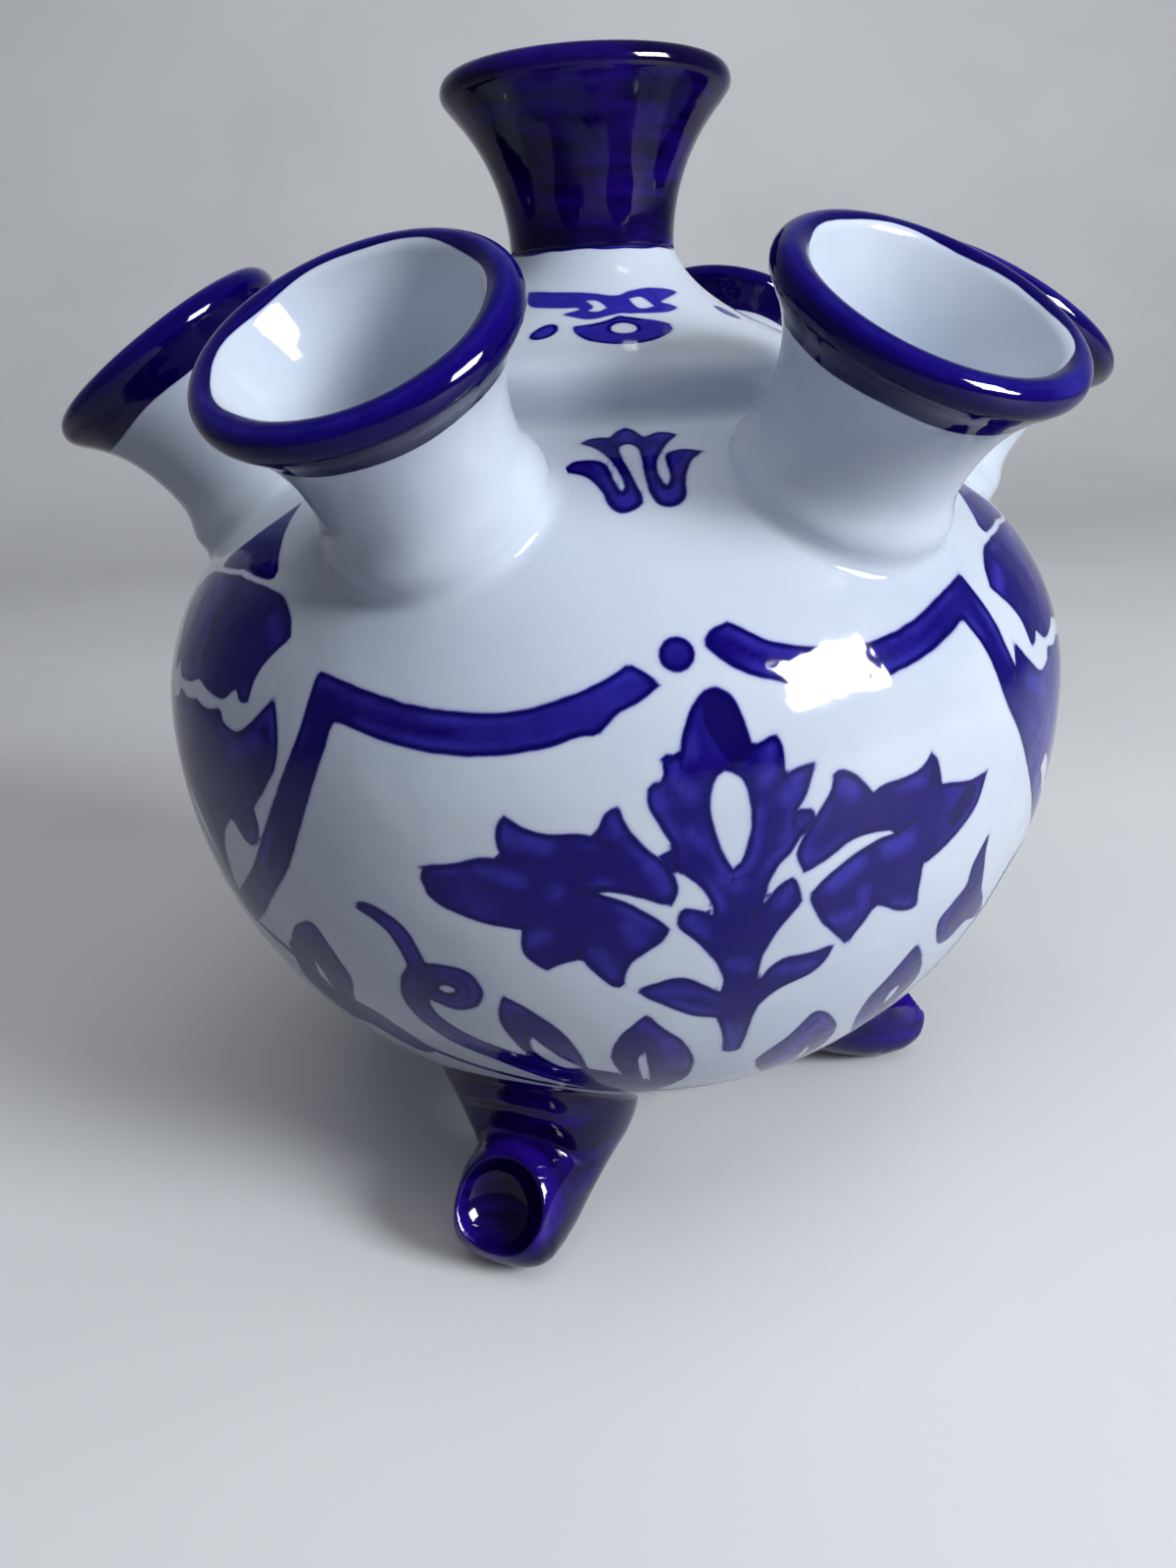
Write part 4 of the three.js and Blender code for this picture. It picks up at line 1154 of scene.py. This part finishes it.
class VASE_OT_spouts(bpy.types.Operator):
    """Make the centre spout, and the ring of leaning spouts with the slip round their feet"""

    bl_idname = "vase.spouts"
    bl_label = "Spouts"

    def execute(self, context):
        scene = context.scene
        body, spout = scene.vase_body, scene.vase_spouts
        self.centre(body, scene.vase_collar, spout)
        heel = bezier([(spout.foot, 1 * MM), (spout.foot, 0.4 * spout.waist_height),
                       (spout.waist, 0.5 * spout.waist_height), (spout.waist, spout.waist_height)], 16)
        flare, lip = trumpet(spout.waist, spout.waist_height, spout.rim, spout.length, spout.bead)
        bore = bore_down(lip[-1], spout.waist, spout.waist_height, spout.wall)
        inner, liner = spout.waist - spout.wall, spout.waist - 0.8 * MM
        root = [(spout.foot, -ROOT_DEPTH), (spout.foot, -2 * MM)]
        outside = even_steps(np.vstack([root, heel, flare[1:]]), 0.7 * MM)
        down = even_steps(np.vstack([bore, (inner, 0.6 * MM - LINER_DEPTH)]), 1 * MM)
        end = [(inner + 0.8 * MM, -LINER_DEPTH), (liner - 0.4 * MM, 0.2 * MM - LINER_DEPTH),
               (liner, 1 * MM - LINER_DEPTH), (liner, -LINER_SHOULDER)]
        profile = np.vstack([outside, lip, down, end])
        crest = len(outside) + CREST_ROW
        columns = 160
        # The lip band comes with its painted highlight and painted shade.
        depth, touch = band_depth(profile, crest, spout.band, spout.band_inside)
        sway_share = np.where(np.arange(len(depth)) < crest, 1, 1.5)
        faces = grid_faces(len(profile), columns)
        upright = turned(profile, columns)
        tube = turned(even_steps(np.vstack([root, heel]), 0.1 * MM), columns)
        seat_height = shoulder_height(body, spout.seat)
        for number, azimuth in enumerate(spout_azimuths(), 1):
            points = leaned(upright, azimuth, spout.tilt, spout.seat, seat_height)
            band = depth[:, None] + brush_sway(number, columns) * sway_share[:, None]
            paint = np.full((band.size, 3), -REACH)
            paint[:, 0] = band.ravel().clip(-REACH, REACH)
            make_piece(f"spout_{number}", points, [faces], glaze_of(painted_glaze),
                       "lipped_white_glaze", [f"leaning_spout_{number}"], paint=paint,
                       touch=np.repeat(touch, columns, 0))
            roll = slip_roll(body, leaned(tube, azimuth, spout.tilt, spout.seat, seat_height), body.roll)
            make_piece(f"spout_seam_{number}", roll, [grid_faces(len(roll), columns)],
                       glaze_of(painted_glaze), "white_glaze", [f"spout_slip_seam_{number}"], **UNPAINTED)
        return {"FINISHED"}

    @staticmethod
    def centre(body, collar, spout):
        """The centre spout: dark outside and over the lip, and white down its bore."""
        _, top = collar_outer(body, collar, spout.neck_waist)
        flare, lip = trumpet(spout.neck_waist, 0, spout.neck_rim, spout.neck_length, spout.bead)
        bore = bore_down(lip[-1], spout.neck_waist, spout.neck_length / 4, spout.wall)
        outside = even_steps(flare, 0.7 * MM)
        inner = spout.neck_waist - spout.wall
        down = even_steps(np.vstack([bore, (inner, 0.2 * MM)]), 1 * MM)
        profile = np.vstack([outside, lip, down, [(inner, 0)]]) + (0, top)
        columns = 180
        crest = len(outside) + CREST_ROW
        all_of_it = 150 * MM
        depth, touch = band_depth(profile, crest, all_of_it, spout.band_inside)
        # The centre spout keeps only the painted highlight along its crest, with no painted shade.
        touch[:, 1] = -REACH
        make_piece("neck", turned(profile, columns), [grid_faces(len(profile), columns)],
                   glaze_of(dark_glaze), "indigo_glaze", ["centre_spout"],
                   paint=np.repeat(depth.clip(-REACH, REACH)[:, None].repeat(3, 1), columns, 0),
                   touch=np.repeat(touch, columns, 0))


# The foot's front and back curves, as radius from the vase's axis and height, and half breadths, from
# the root inside the body down to the tip of the toe. All in millimetres.
FOOT_FRONT = [(56, 41), (54.2, 34), (51.8, 29), (51.3, 26.5), (48.6, 21.3), (50.5, 20.4), (53.5, 20.3),
              (56.3, 18.9), (58.8, 16), (60.6, 12), (61.2, 8.5)]
FOOT_BACK = [(24, 19.5), (25.5, 14.8), (29, 10.6), (34, 5.6), (40.5, 2.4), (46.5, 0.6), (49.5, 0.1), (52, 0),
             (56, 1), (59, 3.8), (61.2, 8.5)]
FOOT_BREADTH = [16.2, 15.8, 14.4, 12, 10.2, 9.8, 9.6, 9.3, 8.7, 6.9, 0]
HOLLOW_MIDDLE, HOLLOW_HALVES, HOLLOW_LEAN = (59, 14.2), (7.8, 7.5, 6.4), 68
# Each foot's azimuth, and how much further out its toe reaches than the curves say.
FEET = [(-28, 0.2), (94.5, 0), (214, -0.6)]


def scroll_foot():
    """One foot at the front: sections from a front to a back curve, each a superellipse as broad as its
    half breadth, gathered towards the toe. A thumb's hollow is pressed in: inside an egg, points sink
    to the egg's floor, and the rim between is rounded by a smooth minimum. Gives the grid of points,
    and how near each lies to the hollow's rim, from 0 to 1."""
    front, back = (smooth_run(curve, 12) for curve in (FOOT_FRONT, FOOT_BACK))
    breadth = smooth_run(np.stack([FOOT_BREADTH, FOOT_BREADTH], 1), 12)[:, 0]
    stations, columns, fullness, gathering = 110, 112, 2.25, 0.9
    spread = np.sin(np.linspace(0, np.pi / 2, stations)) ** gathering * (len(front) - 1)
    share = np.arange(len(front))
    front, back = (read_off(spread, share, curve) for curve in (front, back))
    breadth = np.interp(spread, share, breadth)
    close = np.sqrt((1 - (spread / spread[-1]) ** 16).clip(0))
    breadth = breadth * (0.35 + 0.65 * close)
    across, sideways = np.cos(once_round(columns)), np.sin(once_round(columns))
    depth_way, side_way = (np.sign(way) * np.abs(way) ** (2 / fullness) for way in (across, sideways))
    middle, half = (front + back) / 2, (front - back) / 2
    radial = middle[:, :1] + half[:, :1] * depth_way
    height = middle[:, 1:] + half[:, 1:] * depth_way
    side = breadth[:, None] * side_way
    lean = math.radians(HOLLOW_LEAN)
    outward, up = radial - HOLLOW_MIDDLE[0], height - HOLLOW_MIDDLE[1]
    along = outward * math.cos(lean) - up * math.sin(lean)
    over = outward * math.sin(lean) + up * math.cos(lean)
    egg = (along / HOLLOW_HALVES[0]) ** 2 + (side / HOLLOW_HALVES[1]) ** 2
    rim_slope, easing, reach_down, rim_width = 9, 1.3, 11, 0.16
    floor = np.where(egg < 1, -HOLLOW_HALVES[2] * np.sqrt((1 - egg).clip(0)), rim_slope * (np.sqrt(egg) - 1))
    mix = (0.5 + 0.5 * (floor - over) / easing).clip(0, 1)
    sunk = floor * (1 - mix) + over * mix - easing * mix * (1 - mix)
    press = np.where(over > -reach_down, sunk - over, 0)
    radial = radial + press * math.sin(lean)
    height = (height + press * math.cos(lean)).clip(0)
    points = np.stack([side, -radial, height], -1) * MM
    rim = np.exp(-(((np.sqrt(egg) - 1.12) / rim_width) ** 2)) * (over > -6)
    return points, rim


class VASE_OT_feet(bpy.types.Operator):
    """Make the three scrolled feet and the slip where they join the body"""

    bl_idname = "vase.feet"
    bl_label = "Feet"

    def execute(self, context):
        body = context.scene.vase_body
        shape, rim = scroll_foot()
        rows, columns, _ = shape.shape
        first, last = np.arange(columns), np.arange(columns) + (rows - 1) * columns
        caps = [fan(first[::-1], rows * columns), fan(last, rows * columns + 1)]
        leg_rows = 60
        faces = [grid_faces(rows, columns, closed_rows=False), np.vstack(caps)]
        # A painted highlight round the rim of each toe's hollow.
        touch = np.full((rows * columns + 2, 3), -REACH)
        touch[:-2, 2] = 2 * rim.ravel() - 1.4
        toe_share = np.linspace(0, 1, rows)[:, None] ** 1.5
        for number, (azimuth, reach) in enumerate(FEET, 1):
            turn = np.array(Matrix.Rotation(math.radians(azimuth), 3, "Z"))
            points = shape.copy()
            points[..., 1] -= reach * MM * toe_share
            every = np.vstack([points.reshape(-1, 3), points[0].mean(0), points[-1].mean(0)])
            make_piece(f"foot_{number}", every @ turn.T, faces, glaze_of(dark_glaze), "indigo_glaze",
                       [f"scroll_foot_{number}"], paint=REACH, touch=touch)
            roll = slip_roll(body, points[:leg_rows] @ turn.T, 0.8 * body.roll)
            make_piece(f"foot_seam_{number}", roll, [grid_faces(len(roll), columns)],
                       glaze_of(dark_glaze), "indigo_glaze", [f"foot_slip_seam_{number}"], **SOLID_PAINT)
        return {"FINISHED"}


# Stage

EYE = (-21.93, -208.52, 139.03)
HEADING, PITCH, ROLL = 4.548, -19.572, -3.134
LENS, LONG_SIDE = 27.6, 36


def soft_lamp(name, azimuth, elevation, distance, width, height, power, aim=(0, 0, 0.09)):
    """A square soft lamp at an azimuth from the front and an elevation, facing the aim."""
    light = bpy.data.lights.new(name, "AREA")
    light.shape, light.size, light.size_y, light.energy = "RECTANGLE", width, height, power
    turn = (Matrix.Rotation(math.radians(azimuth), 4, "Z")
            @ Matrix.Rotation(math.radians(90 - elevation), 4, "X"))
    lamp = bpy.data.objects.new(name, light)
    lamp.matrix_world = Matrix.Translation(aim) @ turn @ Matrix.Translation((0, 0, distance))
    bpy.context.collection.objects.link(lamp)
    return lamp


class VASE_OT_studio(bpy.types.Operator):
    """Make the floor, the lamps, the surrounding light and the camera"""

    bl_idname = "vase.studio"
    bl_label = "Studio"

    def execute(self, context):
        self.floor()
        self.world(context.scene)
        window_way = {"azimuth": 49.6, "elevation": 24.5}
        window = soft_lamp("window_lamp", **window_way, distance=1.3, width=0.44, height=0.42, power=15)
        window.data.color = (0.95, 0.98, 1)
        window.visible_glossy = False
        glint = soft_lamp("window_glint", **window_way, distance=1.27, width=0.5, height=0.4, power=80)
        glint.visible_diffuse = False
        sky = soft_lamp("sky_lamp", azimuth=5, elevation=72, distance=1.5, width=1.2, height=1.0, power=7)
        sky.visible_glossy = False
        self.camera(context.scene)
        context.scene.view_settings.view_transform = "Standard"
        return {"FINISHED"}

    @staticmethod
    def floor():
        """A floor that turns up into a backdrop through a quarter circle, carried along a wide line."""
        front, back, bend, wall, half = -3.0, 0.75, 0.5, 1.8, 3.0
        angle = np.linspace(0, np.pi / 2, 24)
        quarter = np.stack([back + bend * np.sin(angle), bend - bend * np.cos(angle)], 1)
        curve = np.vstack([[(front, 0)], quarter, [(back + bend, wall)]])
        side = np.array([-half, half])
        points = np.stack(np.broadcast_arrays(side[None, :], curve[:, :1], curve[:, 1:]), -1).reshape(-1, 3)
        low = np.arange(len(curve) - 1) * 2
        faces = np.stack([low, low + 1, low + 3, low + 2], 1)
        mesh = bpy.data.meshes.new("floor")
        mesh.from_pydata(points.tolist(), [], faces.tolist())
        mesh.polygons.foreach_set("use_smooth", np.ones(len(faces), bool))
        paper = Glaze("pale_paper")
        grain = paper.between(paper.cloud(6, 3, 0.5), 0.3, 0.7)
        pale = paper.blend(grain, seen_colour(226, 227, 230), seen_colour(232, 233, 235))
        seen, mirrored, through = (paper.add("ShaderNodeLightPath", output=ray) for ray in (
            "Is Camera Ray", "Is Glossy Ray", "Is Transmission Ray"))
        direct = seen.math("MAXIMUM", mirrored).math("MAXIMUM", through)
        colour = paper.blend(direct, seen_colour(96, 98, 112), pale)
        shader = paper.add("ShaderNodeBsdfPrincipled", {}, {"Base Color": colour, "Roughness": 0.65})
        paper.add("ShaderNodeOutputMaterial", {}, {"Surface": shader})
        mesh.materials.append(paper.material)
        floor = bpy.data.objects.new("floor", mesh)
        bpy.context.collection.objects.link(floor)

    @staticmethod
    def world(scene):
        """Even pale light from all round."""
        world = bpy.data.worlds.new("pale_room")
        scene.world = world
        world.use_nodes = True
        background = world.node_tree.nodes["Background"]
        background.inputs["Color"].default_value = (*seen_colour(226, 230, 238), 1)
        background.inputs["Strength"].default_value = 0.22

    @staticmethod
    def camera(scene):
        """The camera where the photograph was taken from: heading to the right of +Y, pitch and roll."""
        heading, pitch, roll = (math.radians(value) for value in (HEADING, PITCH, ROLL))
        turn = (Matrix.Rotation(-heading, 4, "Z") @ Matrix.Rotation(math.pi / 2 + pitch, 4, "X")
                @ Matrix.Rotation(roll, 4, "Z"))
        lens = bpy.data.cameras.new("camera")
        lens.lens, lens.sensor_width, lens.sensor_fit = LENS, LONG_SIDE, "AUTO"
        lens.clip_start, lens.clip_end = 0.01, 20
        camera = bpy.data.objects.new("camera", lens)
        camera.matrix_world = Matrix.Translation([value * MM for value in EYE]) @ turn
        scene.collection.objects.link(camera)
        scene.camera = camera


OPERATORS = (VASE_OT_globe, VASE_OT_collar, VASE_OT_spouts, VASE_OT_feet, VASE_OT_studio)
GROUPS = {"vase_body": BodySizes, "vase_collar": CollarSizes, "vase_spouts": SpoutSizes,
          "vase_colours": GlazeColours}


class VASE_PT_panel(bpy.types.Panel):
    """Lists the pieces of the vase, with their sizes and colours"""

    bl_idname = "VASE_PT_panel"
    bl_label = "Tulip Vase"
    bl_space_type = "VIEW_3D"
    bl_region_type = "UI"
    bl_category = "Tulip Vase"

    def draw(self, context):
        for operator in OPERATORS:
            self.layout.operator(operator.bl_idname)
        for name, group in GROUPS.items():
            box = self.layout.box()
            for field in group.__annotations__:
                box.prop(getattr(context.scene, name), field)


def register():
    for cls in (*GROUPS.values(), *OPERATORS, VASE_PT_panel):
        bpy.utils.register_class(cls)
    for name, group in GROUPS.items():
        setattr(bpy.types.Scene, name, bpy.props.PointerProperty(type=group))


def unregister():
    for name in GROUPS:
        delattr(bpy.types.Scene, name)
    for cls in reversed((*GROUPS.values(), *OPERATORS, VASE_PT_panel)):
        bpy.utils.unregister_class(cls)


def main():
    """Makes the whole vase on its stage."""
    register()
    for operator in OPERATORS:
        family, name = operator.bl_idname.split(".")
        getattr(getattr(bpy.ops, family), name)()


if __name__ == "__main__":
    main()
